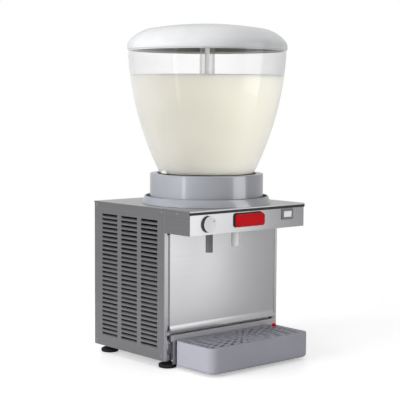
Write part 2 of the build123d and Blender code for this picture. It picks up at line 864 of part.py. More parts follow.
def make_lid():
    """Domed lid with a straight skirt, and the dark liner inside it."""
    sweep_angle = math.degrees(math.asin(lid_shoulder_radius / lid_crown_radius))
    top_z = lid_z + lid_top_height
    with BuildPart() as lid:
        with BuildSketch(bowl_plane):
            with BuildLine():
                over = JernArc((0, top_z), (1, 0), lid_crown_radius, -sweep_angle)
                ThreePointArc(over @ 1, (lid_bend_radius, lid_z + lid_bend_height),
                              (lid_radius, lid_z + lid_skirt))
                Polyline((lid_radius, lid_z + lid_skirt), (lid_radius, lid_z),
                         (lid_radius - lid_wall, lid_z), (lid_radius - lid_wall, lid_z + lid_skirt))
                under = JernArc((0, top_z - lid_wall), (1, 0), lid_crown_radius, -sweep_angle)
                ThreePointArc(under @ 1, (lid_bend_radius - lid_wall, lid_z + lid_bend_height - lid_wall),
                              (lid_radius - lid_wall, lid_z + lid_skirt))
                Line((0, top_z), (0, top_z - lid_wall))
            make_face()
        revolve(axis=bowl_axis)
        inner = bowl_rim_radius - bowl_wall - lid_lip_gap
        turned((
            (lid_radius - lid_wall, lid_z),
            (lid_radius - lid_wall, lid_z + lid_wall),
            (inner - lid_wall, lid_z + lid_wall),
            (inner - lid_wall, lid_z - lid_lip_depth),
            (inner, lid_z - lid_lip_depth),
            (inner, lid_z),
        ))
    save(lid, "lid")
    rim = bowl_rim_radius - bowl_wall - lid_lip_gap - lid_wall
    drop = lid_wall + liner_gap
    inner_drop = drop + liner_thick
    liner_angle = math.degrees(math.asin((lid_shoulder_radius - liner_gap) / lid_crown_radius))
    with BuildPart() as liner:
        with BuildSketch(bowl_plane):
            with BuildLine():
                over = JernArc((0, top_z - drop), (1, 0), lid_crown_radius, -liner_angle)
                ThreePointArc(over @ 1, (lid_bend_radius - drop, lid_z + lid_bend_height - drop),
                              (rim, lid_z + lid_wall))
                Line((rim, lid_z + lid_wall), (rim - liner_thick, lid_z + lid_wall))
                under = JernArc((0, top_z - inner_drop), (1, 0), lid_crown_radius, -liner_angle)
                ThreePointArc(under @ 1,
                              (lid_bend_radius - inner_drop, lid_z + lid_bend_height - inner_drop),
                              (rim - liner_thick, lid_z + lid_wall))
                Line((0, top_z - drop), (0, top_z - inner_drop))
            make_face()
        revolve(axis=bowl_axis)
    save(liner, "lid_liner")


def make_evaporator():
    """Stainless evaporator dome, the flange that holds it on the top plate, its seal and its coil sleeve."""
    with BuildPart() as dome:
        post(0, bowl_y, plate_z, plate_z + evaporator_height, evaporator_radius)
        fillet(dome.faces().sort_by(Axis.Z)[-1].edges(), evaporator_bend)
        offset(amount=-sheet, openings=dome.faces().sort_by(Axis.Z)[0])
    save(dome, "evaporator_dome")
    with BuildPart() as ring:
        turned((
            (evaporator_radius + seat_gap, plate_z),
            (evaporator_flange_radius, plate_z),
            (evaporator_flange_radius, plate_z + sheet),
            (evaporator_radius + seat_gap, plate_z + sheet),
        ))
    save(ring, "dome_flange")
    with BuildPart() as seal:
        turned((
            (evaporator_radius + running_gap, plate_z + hub_seal_base),
            (evaporator_radius + hub_seal_thick, plate_z + hub_seal_base),
            (evaporator_radius + hub_seal_thick, plate_z + hub_seal_base + hub_seal_height),
            (evaporator_radius + running_gap, plate_z + hub_seal_base + hub_seal_height),
        ))
    save(seal, "hub_seal")
    with BuildPart() as coil:
        post(0, bowl_y, plate_z + coil_base, plate_z + coil_base + coil_height, coil_radius)
        post(0, bowl_y, plate_z + coil_base, plate_z + coil_base + coil_height,
             coil_radius - coil_thick, Mode.SUBTRACT)
    save(coil, "evaporator_coil")


def make_mixer():
    """Mixer motor inside the dome, its magnet, and the impeller that the magnet turns."""
    motor_z = plate_z + mixer_motor_base
    motor_top = motor_z + mixer_motor_height
    magnet_z = plate_z + magnet_base
    dome_top = plate_z + evaporator_height
    bracket_radius = coil_radius - coil_thick
    with BuildPart() as motor:
        post(0, bowl_y, motor_z, motor_top, mixer_motor_radius)
        fillet(motor.edges(), mixer_motor_radius / 8)
        post(0, bowl_y, motor_z + mixer_motor_height / 2, motor_z + mixer_motor_height / 2 + sheet * 2,
             bracket_radius)
        post(0, bowl_y, motor_top - mixer_motor_height / 2, motor_top + cut_overrun,
             mixer_shaft_radius + running_gap, Mode.SUBTRACT)
    save(motor, "mixer_motor")
    with BuildPart() as magnet:
        post(0, bowl_y, magnet_z, magnet_z + magnet_height, magnet_radius)
        post(0, bowl_y, motor_top - mixer_motor_height / 2 + seat_gap, magnet_z + magnet_height / 2,
             mixer_shaft_radius)
    save(magnet, "drive_magnet")
    disc_z = dome_top + seat_gap
    rod_top = plate_z + riser_top - seat_gap
    vane_start = rod_radius / 2
    vane_end = impeller_radius - vane_thick
    with BuildPart() as impeller:
        post(0, bowl_y, disc_z, disc_z + impeller_disc, impeller_radius)
        post(0, bowl_y, disc_z, rod_top, rod_radius)
        with Locations((0, bowl_y, disc_z + impeller_disc + vane_height / 2)):
            with PolarLocations((vane_start + vane_end) / 2, vane_count):
                Box(vane_end - vane_start, vane_thick, vane_height)
    save(impeller, "impeller")
    with BuildPart() as pump:
        post(0, bowl_y, dome_top, dome_top + pump_height, pump_radius)
        post(0, bowl_y, dome_top, dome_top + pump_height - pump_wall, pump_radius - pump_wall, Mode.SUBTRACT)
        post(0, bowl_y, dome_top, dome_top + pump_height + cut_overrun,
             riser_radius - riser_wall, Mode.SUBTRACT)
        with Locations((0, bowl_y, dome_top + pump_window_height / 2)):
            with PolarLocations(pump_radius, pump_windows, start_angle=360 / pump_windows / 2):
                Box(pump_window_width, pump_window_width, pump_window_height, mode=Mode.SUBTRACT)
    save(pump, "pump_housing")
    riser_z = dome_top + pump_height
    tube_top = plate_z + riser_top
    with BuildPart() as riser:
        post(0, bowl_y, riser_z, tube_top, riser_radius)
        post(0, bowl_y, riser_z, tube_top - riser_bush_height, riser_radius - riser_wall, Mode.SUBTRACT)
        post(0, bowl_y, riser_z, tube_top + cut_overrun, rod_radius + running_gap, Mode.SUBTRACT)
        port_ring = (riser_radius - riser_wall + rod_radius) / 2
        with Locations((0, bowl_y, tube_top)):
            with PolarLocations(port_ring, riser_ports):
                Cylinder(riser_port_radius, 2 * riser_bush_height + cut_overrun, mode=Mode.SUBTRACT)
    save(riser, "riser_tube")


def make_tap():
    """Pinch tap: push plate, block, rods and jaw on one side, frame and tube on the other."""
    plate_rear = push_front_y + push_cover
    with BuildPart() as cover:
        with BuildSketch(Plane.XZ.offset(-plate_rear)):
            with Locations((push_x, tap_z)):
                RectangleRounded(push_width, push_height, push_corner)
        extrude(amount=push_cover)
        fillet(cover.faces().sort_by(Axis.Y)[0].edges(), push_cover / 3)
    save(cover, "push_plate")
    rods_x = (tap_x - rod_spacing / 2, tap_x + rod_spacing / 2)
    rod_start = plate_rear + push_cover
    with BuildPart() as pusher:
        with BuildSketch(Plane.XZ.offset(-block_rear_y)):
            with Locations((push_x, tap_z)):
                RectangleRounded(push_width - 2 * push_inset, push_height - 2 * push_inset,
                                 push_corner - push_inset)
        extrude(amount=block_rear_y - plate_rear)
        for x in rods_x:
            rod_y(x, tap_z, rod_start, block_rear_y + cut_overrun, tap_rod_radius + running_gap,
                  Mode.SUBTRACT)
    save(pusher, "push_block")
    rod_end = bar_front_y + bar_thick + tap_travel + guide_gap + 2 * frame_thick
    with BuildPart() as rods:
        for x in rods_x:
            rod_y(x, tap_z, rod_start, rod_end, tap_rod_radius)
    save(rods, "tap_rods")
    bar_half = rod_spacing / 2 + bar_overhang
    with BuildPart() as jaw:
        block((tap_x - bar_half, bar_front_y, tap_z - bar_height / 2),
              (tap_x + bar_half, bar_front_y + bar_thick, tap_z + bar_height / 2))
        nose = jaw.edges().filter_by(Axis.X).group_by(Axis.Y)[0]
        fillet(nose, bar_height / 3)
        for x in rods_x:
            with Locations((x, bar_front_y + bar_thick / 2, tap_z)):
                Box(4 * tap_rod_radius, bar_thick, 4 * tap_rod_radius)
            rod_y(x, tap_z, bar_front_y - cut_overrun, bar_front_y + bar_thick + cut_overrun,
                  tap_rod_radius + running_gap, Mode.SUBTRACT)
    save(jaw, "pinch_jaw")
    spring_end = frame_front_y - seat_gap
    with BuildPart() as springs:
        for x in rods_x:
            rod_y(x, tap_z, block_rear_y + seat_gap, spring_end, spring_outer)
            rod_y(x, tap_z, block_rear_y, frame_front_y, spring_outer - spring_wall, Mode.SUBTRACT)
    save(springs, "tap_springs")
    floor_z = fascia_bottom_z + sheet
    guide_y = bar_front_y + bar_thick + tap_travel + guide_gap
    frame_half = bar_half + frame_thick
    with BuildPart() as frame:
        block((tap_x - frame_half, frame_front_y, floor_z),
              (tap_x + frame_half, guide_y + frame_thick, floor_z + frame_thick))
        block((tap_x - frame_half, frame_front_y, floor_z),
              (tap_x + frame_half, frame_front_y + frame_thick, floor_z + frame_height))
        block((tap_x - frame_half, guide_y, floor_z),
              (tap_x + frame_half, guide_y + frame_thick, floor_z + frame_height))
        block((tap_x - anvil_half_width, frame_front_y, tap_z - anvil_height / 2),
              (tap_x + anvil_half_width, flat_y - flat_half_thick - seat_gap, tap_z + anvil_height / 2))
        for x in rods_x:
            rod_y(x, tap_z, frame_front_y - cut_overrun, guide_y + frame_thick + cut_overrun,
                  tap_rod_radius + running_gap, Mode.SUBTRACT)
        post(tap_x, tap_y, floor_z - cut_overrun, floor_z + frame_thick + cut_overrun,
             spout_flange_radius + seat_gap, Mode.SUBTRACT)
    save(frame, "tap_frame")


def make_tubes():
    """Silicone drink tube flattened in the tap, the spout under it and the drain tube."""
    floor_z = fascia_bottom_z + sheet
    flange_top = floor_z + spout_flange_height
    barb_top = flange_top + barb_height
    flat_low = tap_z - flat_height / 2
    flat_high = tap_z + flat_height / 2
    low_round = flat_low - tube_taper
    high_round = flat_high + tube_taper
    socket_low = plate_z + socket_top - socket_depth
    with BuildPart() as tube:
        for start, end in ((low_round, flat_low), (high_round, flat_high)):
            with BuildSketch(Plane.XY.offset(start)):
                with Locations((tap_x, tap_y)):
                    Circle(tube_radius)
            with BuildSketch(Plane.XY.offset(end)):
                with Locations((tap_x, flat_y)):
                    Ellipse(flat_half_width, flat_half_thick)
            loft()
        with BuildSketch(Plane.XY.offset(flat_low)):
            with Locations((tap_x, flat_y)):
                Ellipse(flat_half_width, flat_half_thick)
        extrude(amount=flat_height)
        post(tap_x, tap_y, flange_top, low_round, tube_radius)
        post(tap_x, tap_y, high_round, socket_low, tube_radius)
        post(tap_x, tap_y, socket_low - tube_radius + tube_bore, plate_z + socket_top, socket_radius)
        post(tap_x, tap_y, flange_top - cut_overrun, low_round, tube_bore, Mode.SUBTRACT)
        post(tap_x, tap_y, high_round, plate_z + socket_top + cut_overrun, tube_bore, Mode.SUBTRACT)
        post(tap_x, tap_y, socket_low, plate_z + socket_top + cut_overrun, socket_bore, Mode.SUBTRACT)
    save(tube, "drink_tube")
    with BuildPart() as spout:
        post(tap_x, tap_y, spout_bottom_z, floor_z, spout_radius)
        post(tap_x, tap_y, floor_z, flange_top, spout_flange_radius)
        post(tap_x, tap_y, flange_top, barb_top, barb_radius)
        post(tap_x, tap_y, spout_bottom_z - cut_overrun, fascia_bottom_z, spout_bore, Mode.SUBTRACT)
        post(tap_x, tap_y, fascia_bottom_z, barb_top + cut_overrun, barb_radius - sheet, Mode.SUBTRACT)
        chamfer(spout.edges().filter_by(GeomType.CIRCLE).group_by(Axis.Z)[0].sort_by(SortBy.RADIUS)[-1],
                sheet)
    save(spout, "spout")
    drain_bottom = fascia_bottom_z - drain_below
    with BuildPart() as drain:
        post(drain_x, drain_y, drain_bottom, collar_floor_z, drain_radius)
        post(drain_x, drain_y, collar_floor_z, collar_floor_z + drain_flange_height, drain_flange_radius)
        post(drain_x, drain_y, drain_bottom - cut_overrun,
             collar_floor_z + drain_flange_height + cut_overrun, drain_bore, Mode.SUBTRACT)
    save(drain, "drain_tube")


def make_thermostat():
    """Thermostat behind the fascia, its spindle and the knob with a pointer groove."""
    inside_y = fascia_front_y + sheet
    knob_rear = fascia_front_y - knob_air
    knob_front = knob_rear - knob_depth
    with BuildPart() as body:
        block((knob_x - thermostat_width / 2, inside_y, knob_z - thermostat_height / 2),
              (knob_x + thermostat_width / 2, inside_y + thermostat_depth, knob_z + thermostat_height / 2))
        rod_y(knob_x, knob_z, inside_y - cut_overrun, inside_y + thermostat_depth / 2,
              spindle_radius + running_gap, Mode.SUBTRACT)
    save(body, "thermostat")
    with BuildPart() as spindle:
        rod_y(knob_x, knob_z, knob_front + knob_depth / 2,
              inside_y + thermostat_depth / 2 - seat_gap, spindle_radius)
    save(spindle, "thermostat_spindle")
    with BuildPart() as knob:
        with BuildSketch(Plane.YZ.offset(knob_x)):
            with BuildLine():
                Polyline(
                    (knob_rear, knob_z),
                    (knob_rear, knob_z + knob_radius),
                    (knob_front + knob_taper, knob_z + knob_face_radius + knob_taper),
                    (knob_front, knob_z + knob_face_radius),
                    (knob_front, knob_z),
                    close=True,
                )
            make_face()
        revolve(axis=Axis((knob_x, knob_rear, knob_z), (0, 1, 0)))
        block((knob_x - pointer_width / 2, knob_front - cut_overrun, knob_z + spindle_radius),
              (knob_x + pointer_width / 2, knob_front + pointer_depth, knob_z + knob_face_radius),
              Mode.SUBTRACT)
        rod_y(knob_x, knob_z, knob_front + knob_depth / 2, knob_rear + cut_overrun,
              spindle_radius + running_gap, Mode.SUBTRACT)
    save(knob, "thermostat_knob")


def make_switch():
    """Mains switch: a framed case and a rocker that tips about an upright pin."""
    front_y = fascia_front_y - bezel_proud
    rocker_y = front_y + rocker_depth / 2
    with BuildPart() as case:
        with BuildSketch(Plane.XZ.offset(-fascia_front_y)):
            with Locations((switch_x, switch_z)):
                RectangleRounded(bezel_width, bezel_height, bezel_corner)
        extrude(amount=bezel_proud)
        block((switch_x - switch_case_width / 2, fascia_front_y, switch_z - switch_case_height / 2),
              (switch_x + switch_case_width / 2, fascia_front_y + switch_case_depth,
               switch_z + switch_case_height / 2))
        block((switch_x - rocker_width / 2, front_y - cut_overrun, switch_z - rocker_height / 2),
              (switch_x + rocker_width / 2, fascia_front_y + switch_case_depth - bezel_proud,
               switch_z + rocker_height / 2), Mode.SUBTRACT)
    save(case, "switch_case")
    half = rocker_width / 2 - rocker_end_gap
    rise = half * math.tan(math.radians(rocker_tilt))
    with BuildPart() as rocker:
        with BuildSketch(Plane.XY.offset(switch_z - rocker_height / 2 + rocker_gap)):
            with BuildLine():
                Polyline(
                    (switch_x - half, front_y + sheet / 2),
                    (switch_x, front_y),
                    (switch_x + half, front_y - rise + sheet / 2),
                    (switch_x + half, rocker_y),
                    (switch_x, rocker_y + rise * 2),
                    (switch_x - half, rocker_y + sheet),
                    close=True,
                )
            make_face()
        extrude(amount=rocker_height - 2 * rocker_gap)
    save(rocker, "switch_rocker")


def make_compressor():
    """Hermetic compressor on four rubber grommets."""
    can_z = base_z + sheet + compressor_lift
    seam_z = can_z + compressor_height / 2
    step = leg_reach / math.sqrt(2)
    legs = [(compressor_x + across * step, compressor_y + along * step)
            for across in (-1, 1) for along in (-1, 1)]
    with BuildPart() as can:
        post(compressor_x, compressor_y, can_z, can_z + compressor_height, compressor_radius)
        fillet(can.edges().filter_by(GeomType.CIRCLE), compressor_crown)
        post(compressor_x, compressor_y, seam_z - seam_height / 2, seam_z + seam_height / 2,
             compressor_radius + seam_proud)
        for turn in (45, 135):
            with Locations(Location((compressor_x, compressor_y, can_z + leg_thick / 2), (0, 0, turn))):
                Box(2 * leg_reach + leg_width, leg_width, leg_thick)
        for x, y in legs:
            post(x, y, can_z - cut_overrun, can_z + leg_thick + cut_overrun,
                 grommet_bore + seat_gap, Mode.SUBTRACT)
    save(can, "compressor")
    with BuildPart() as grommets:
        for x, y in legs:
            post(x, y, base_z + sheet, can_z, grommet_radius)
            post(x, y, can_z, can_z + 2 * leg_thick, grommet_bore)
    save(grommets, "compressor_grommets")


def make_condenser():
    """Finned condenser behind the left louvres, with its fan shroud, fan and motor."""
    low_z = base_z + condenser_base
    high_z = low_z + condenser_height
    rear = condenser_front_y + condenser_depth
    inner_x = condenser_x + condenser_thick
    pitch = (condenser_depth - fin_thick) / (fin_count - 1)
    with BuildPart() as condenser:
        for k in range(fin_count):
            fin_y = condenser_front_y + k * pitch
            block((condenser_x, fin_y, low_z), (inner_x, fin_y + fin_thick, high_z))
        for z in (low_z, high_z - end_plate):
            block((condenser_x, condenser_front_y, z), (inner_x, rear, z + end_plate))
        for side in (0, 1):
            x = condenser_x + side * (condenser_thick - end_plate)
            for k in range(tube_rows):
                z = low_z + (k + 1) * condenser_height / (tube_rows + 1)
                block((x, condenser_front_y, z - header_radius), (x + end_plate, rear, z + header_radius))
        for y in (condenser_front_y, rear - 2 * fin_thick):
            block((condenser_x, y, base_z + sheet), (inner_x, y + 2 * fin_thick, low_z))
    save(condenser, "condenser")
    fan_y = condenser_front_y + condenser_depth / 2
    fan_z = low_z + condenser_height / 2
    shroud_x = inner_x + shroud_depth
    motor_x = shroud_x + fan_clearance
    with BuildPart() as shroud:
        block((inner_x, condenser_front_y, low_z), (shroud_x, rear, high_z))
        block((inner_x - cut_overrun, condenser_front_y + sheet, low_z + sheet),
              (shroud_x - sheet, rear - sheet, high_z - sheet), Mode.SUBTRACT)
        rod_x(fan_y, fan_z, inner_x, shroud_x + cut_overrun, fan_radius, Mode.SUBTRACT)
        block((shroud_x, fan_y - fan_arm_width / 2, low_z),
              (shroud_x + fan_arm_thick, fan_y + fan_arm_width / 2, high_z))
        rod_x(fan_y, fan_z, shroud_x - cut_overrun, shroud_x + fan_arm_thick + cut_overrun,
              fan_shaft_radius + fan_clearance, Mode.SUBTRACT)
    save(shroud, "fan_shroud")
    with BuildPart() as motor:
        rod_x(fan_y, fan_z, motor_x, motor_x + fan_motor_length, fan_motor_radius)
        rod_x(fan_y, fan_z, motor_x - cut_overrun, motor_x + fan_motor_length / 2,
              fan_shaft_radius + running_gap, Mode.SUBTRACT)
    save(motor, "fan_motor")
    fan_x = inner_x + shroud_depth / 2
    blade_length = fan_radius - fan_clearance - fan_hub_radius / 2
    with BuildPart() as fan:
        rod_x(fan_y, fan_z, fan_x - fan_hub_length / 2, fan_x + fan_hub_length / 2, fan_hub_radius)
        rod_x(fan_y, fan_z, fan_x, motor_x + fan_motor_length / 2 - seat_gap, fan_shaft_radius)
        for k in range(fan_blades):
            turn = 360 / fan_blades * k
            centre = fan_hub_radius / 2 + blade_length / 2
            place = (Location((fan_x, fan_y, fan_z), (turn, 0, 0)) * Location((0, 0, centre))
                     * Location((0, 0, 0), (0, 0, blade_pitch)))
            with Locations(place):
                Box(blade_thick, blade_width, blade_length)
        rod_x(fan_y, fan_z, inner_x, motor_x + fan_motor_length, fan_radius - fan_clearance,
              Mode.INTERSECT)
    save(fan, "condenser_fan")


def make_pipes():
    """Copper suction and feed pipes from the compressor up to the evaporator."""
    low = base_z + sheet + compressor_lift + compressor_height
    high = plate_z + coil_base
    across = coil_radius - coil_thick / 2
    with BuildPart() as pipes:
        for side in (-1, 1):
            start_x = compressor_x + side * pipe_bend
            end = (side * across / 2, bowl_y + across * math.sqrt(3) / 2)
            bend_z = (low + plate_z) / 2 + side * pipe_bend / 2
            points = [(start_x, compressor_y, low), (start_x, compressor_y, bend_z),
                      (end[0], end[1], bend_z), (end[0], end[1], high)]
            with BuildLine() as path:
                FilletPolyline(*points, radius=pipe_bend / 2)
            with BuildSketch(Plane(origin=points[0], z_dir=(0, 0, 1))):
                Circle(pipe_radius)
            sweep(path=path.wire())
    save(pipes, "refrigerant_pipes")


def main():
    """Build every piece of the dispenser and write it to the parts folder."""
    os.makedirs("parts", exist_ok=True)
    make_side_panels()
    make_rear_panel()
    make_base_pan()
    make_feet()
    make_top_plate()
    make_splash_panel()
    make_kick_panel()
    make_tray_bracket()
    make_drip_tray()
    make_drip_grid()
    make_tray_float()
    make_fascia()
    make_screws()
    make_collar()
    make_bowl()
    make_lid()
    make_evaporator()
    make_mixer()
    make_tap()
    make_tubes()
    make_thermostat()
    make_switch()
    make_compressor()
    make_condenser()
    make_pipes()


main()
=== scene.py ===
"""Finishes, fine detail, light and camera for a counter-top cold drink dispenser.

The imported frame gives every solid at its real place, in metres, with +Z up. Shapes are
written in millimetres here, and become metres where a point is made.
"""
import logging
import math
from dataclasses import dataclass
from enum import Enum
from typing import ClassVar, Self, Sequence

import bmesh
import bpy
from mathutils import Matrix, Vector


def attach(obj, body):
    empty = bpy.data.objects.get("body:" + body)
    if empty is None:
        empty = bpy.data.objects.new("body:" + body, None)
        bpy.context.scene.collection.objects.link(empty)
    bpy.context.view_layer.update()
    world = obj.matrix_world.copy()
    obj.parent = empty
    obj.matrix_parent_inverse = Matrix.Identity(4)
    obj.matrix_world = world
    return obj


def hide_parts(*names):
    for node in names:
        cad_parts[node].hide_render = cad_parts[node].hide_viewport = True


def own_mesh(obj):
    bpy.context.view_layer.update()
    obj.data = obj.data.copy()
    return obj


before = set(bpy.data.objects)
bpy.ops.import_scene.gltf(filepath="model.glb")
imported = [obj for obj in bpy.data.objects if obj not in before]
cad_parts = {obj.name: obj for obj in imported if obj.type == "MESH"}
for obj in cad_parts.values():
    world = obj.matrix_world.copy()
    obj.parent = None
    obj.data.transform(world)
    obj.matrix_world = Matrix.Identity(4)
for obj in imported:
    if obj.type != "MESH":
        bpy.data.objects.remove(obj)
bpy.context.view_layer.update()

Colour = tuple[float, float, float]
Point = tuple[float, float, float]
Pair = tuple[float, float]
Layer = tuple[float, float, float, float]

log = logging.getLogger("dispenser")

# Units, then the sizes that several pieces share, in millimetres
MM = 0.001
PLATE_Z = 347.0
BOWL_Y = -4.0
FLUTE_DEPTH = 0.5
POLE_RADIUS = 1e-4

# Steps round a large turned piece, and in the corner of a rounded rectangle
ROUND_STEPS = 192
CORNER_STEPS = 6

# Directions and colours
TO_FRONT: Point = (0.0, -1.0, 0.0)
TO_REAR: Point = (0.0, 1.0, 0.0)
TO_RIGHT: Point = (1.0, 0.0, 0.0)
WHITE = (1.0, 1.0, 1.0, 1.0)

# Names that Blender gives
PRINCIPLED = "Principled BSDF"
SMOOTH = "SMOOTHSTEP"


class Body(Enum):
    """The moving bodies that a piece here can ride on."""

    CABINET = "cabinet"
    BOWL = "bowl"
    LID = "lid"
    FAN = "fan"
    TAP = "tap_slider"
    KNOB = "knob"
    ROCKER = "rocker"
    FOOT_FRONT_LEFT = "foot_front_left"
    FOOT_FRONT_RIGHT = "foot_front_right"
    FOOT_REAR_LEFT = "foot_rear_left"
    FOOT_REAR_RIGHT = "foot_rear_right"


class Grain(Enum):
    """The axis along which a sheet was brushed, as repeats of the pattern per metre."""

    ALONG_X = (3.0, 900.0, 900.0)
    ALONG_Y = (900.0, 3.0, 900.0)
    ALONG_Z = (900.0, 900.0, 3.0)
    EVEN = (260.0, 260.0, 260.0)


class NodeSheet:
    """The node tree of a material or of the world, with its shader ready to be fed."""

    def __init__(self, owner: bpy.types.Material | bpy.types.World, shader: str) -> None:
        """Take hold of a tree.

        Args:
            owner: The material or the world.
            shader: The name of the shader's node.
        """
        owner.use_nodes = True
        self.tree = owner.node_tree
        self.shader = self.tree.nodes[shader]

    def add(self, kind: str, **values: object) -> bpy.types.Node:
        """Add a node and set its input sockets by name.

        Args:
            kind: The node's type name.
            **values: Socket values, with spaces in socket names as underscores.

        Returns:
            The new node.
        """
        node = self.tree.nodes.new(kind)
        for key, value in values.items():
            node.inputs[key.replace("_", " ")].default_value = value
        return node

    def link(self, source: bpy.types.NodeSocket, target: bpy.types.NodeSocket) -> None:
        """Join two sockets."""
        self.tree.links.new(source, target)

    def set(self, **values: object) -> None:
        """Set the shader's own sockets, with spaces in names as underscores."""
        for key, value in values.items():
            self.shader.inputs[key.replace("_", " ")].default_value = value

    def feed(self, **sources: bpy.types.NodeSocket) -> None:
        """Join sources to the shader's own sockets, with spaces in names as underscores."""
        for key, source in sources.items():
            self.link(source, self.shader.inputs[key.replace("_", " ")])

    def noise(self, scale: Point, detail: float = 3.0) -> bpy.types.NodeSocket:
        """Give a noise value between 0 and 1.

        Args:
            scale: Repeats per metre along each axis.
            detail: The number of finer layers.

        Returns:
            The value socket.
        """
        where = self.add("ShaderNodeTexCoord")
        mapping = self.add("ShaderNodeMapping", Scale=scale)
        self.link(where.outputs["Object"], mapping.inputs["Vector"])
        node = self.add("ShaderNodeTexNoise", Scale=1.0, Detail=detail, Roughness=0.55)
        self.link(mapping.outputs["Vector"], node.inputs["Vector"])
        return node.outputs["Fac"]

    def ramp(self, source: bpy.types.NodeSocket, curve: str = "LINEAR",
             **ends: float) -> bpy.types.NodeSocket:
        """Map a value from one range to another.

        Args:
            source: The value.
            curve: How it goes from end to end.
            **ends: From_Min, From_Max, To_Min and To_Max, each 0 or 1 where left out.

        Returns:
            The value socket.
        """
        node = self.add("ShaderNodeMapRange", **ends)
        node.interpolation_type = curve
        self.link(source, node.inputs["Value"])
        return node.outputs["Result"]

    def spread(self, source: bpy.types.NodeSocket, low: float,
               high: float) -> bpy.types.NodeSocket:
        """Turn the middle of a noise value into a range.

        Args:
            source: The value between 0 and 1.
            low: The result for a value of 0.3.
            high: The result for a value of 0.7.

        Returns:
            The value socket.
        """
        return self.ramp(source, "SMOOTHERSTEP", From_Min=0.3, From_Max=0.7, To_Min=low,
                         To_Max=high)

    def work(self, operation: str, *values: bpy.types.NodeSocket | float) -> bpy.types.NodeSocket:
        """Work out one number from others.

        Args:
            operation: The name of the sum.
            *values: Numbers, or the sockets that give them.

        Returns:
            The value socket.
        """
        node = self.add("ShaderNodeMath")
        node.operation = operation
        for socket, value in zip(node.inputs, values):
            if isinstance(value, bpy.types.NodeSocket):
                self.link(value, socket)
            else:
                socket.default_value = value
        return node.outputs[0]

    def tones(self, source: bpy.types.NodeSocket, dark: Colour,
              light: Colour) -> bpy.types.NodeSocket:
        """Mix two tones.

        Args:
            source: The value between 0 and 1 that chooses the tone.
            dark: The tone at low values.
            light: The tone at high values.

        Returns:
            The colour socket.
        """
        mix = self.add("ShaderNodeMix")
        mix.data_type = "RGBA"
        self.link(self.spread(source, 0.0, 1.0), mix.inputs["Factor"])
        mix.inputs[6].default_value = (*dark, 1.0)
        mix.inputs[7].default_value = (*light, 1.0)
        return mix.outputs[2]

    def shade(self, source: bpy.types.NodeSocket, tone: Colour, below: float,
              above: float) -> None:
        """Colour the surface in a tone that changes a little.

        Args:
            source: The value between 0 and 1 that changes it.
            tone: The middle tone.
            below: How far it darkens at low values.
            above: How far it lightens at high values.
        """
        dark, light = (tuple(min(1.0, channel * factor) for channel in tone)
                       for factor in (1.0 - below, 1.0 + above))
        self.feed(Base_Color=self.tones(source, dark, light))

    def bump(self, source: bpy.types.NodeSocket, strength: float, height: float,
             edge: float = 0.0) -> None:
        """Raise the surface by a value, over edges that are softened.

        Args:
            source: The height between 0 and 1.
            strength: How much of the bump shows.
            height: The height of a full step, in metres.
            edge: The radius at which sharp edges look broken, in metres.
        """
        node = self.add("ShaderNodeBump", Strength=strength, Distance=height)
        self.link(source, node.inputs["Height"])
        if edge > 0.0:
            soft = self.add("ShaderNodeBevel", Radius=edge)
            soft.samples = 4
            self.link(soft.outputs["Normal"], node.inputs["Normal"])
        self.feed(Normal=node.outputs["Normal"])


@dataclass(frozen=True)
class Finish:
    """A finish that is made once and then shared.

    Attributes:
        name: The material's name.
        tone: The middle colour.
        rough: The middle roughness.
        made: The materials made so far, by name.
    """

    name: str
    tone: Colour
    rough: float
    made: ClassVar[dict[str, bpy.types.Material]] = {}

    def fill(self, sheet: NodeSheet) -> None:
        """Lay out the nodes of this finish."""
        raise NotImplementedError

    def material(self) -> bpy.types.Material:
        """Give the material, made on first use.

        Returns:
            The Blender material.
        """
        if self.name not in self.made:
            self.made[self.name] = bpy.data.materials.new(self.name)
            self.fill(NodeSheet(self.made[self.name], PRINCIPLED))
        return self.made[self.name]


@dataclass(frozen=True)
class Steel(Finish):
    """Brushed or plain metal, with fine lines along its grain and faint handling marks.

    Attributes:
        grain: The way the sheet was brushed.
        line: How far the brushed lines change the tone.
        edge: The radius of its broken edges, in metres.
        streak: How much the brushing spreads its gloss one way.
        marks: The handling marks' repeats per metre.
        wear: How far the marks change the roughness.
        groove: The height of the brushed lines, in metres.
        relief: How much of that height shows.
    """

    grain: Grain = Grain.EVEN
    line: float = 0.05
    edge: float = 0.0006
    streak: float = 0.0
    marks: ClassVar[float] = 7.0
    wear: ClassVar[float] = 0.06
    groove: ClassVar[float] = 0.00004
    relief: ClassVar[float] = 0.12

    def fill(self, sheet: NodeSheet) -> None:
        """Lay out the brushed lines, a cloudy change of gloss and the metal.

        Args:
            sheet: The node tree to fill.
        """
        lines = sheet.noise(self.grain.value, 4.0)
        marks = sheet.noise((self.marks,) * 3, 1.0)
        low, high = self.rough * (1.0 - self.wear), self.rough * (1.0 + self.wear)
        sheet.shade(lines, self.tone, self.line, self.line)
        sheet.feed(Roughness=sheet.spread(marks, low, high))
        sheet.bump(lines, self.relief, self.groove, self.edge)
        sheet.set(Metallic=1.0, Anisotropic=self.streak)
        if self.streak > 0.0:
            sheet.feed(Tangent=sheet.add("ShaderNodeCombineXYZ", Z=1.0).outputs["Vector"])


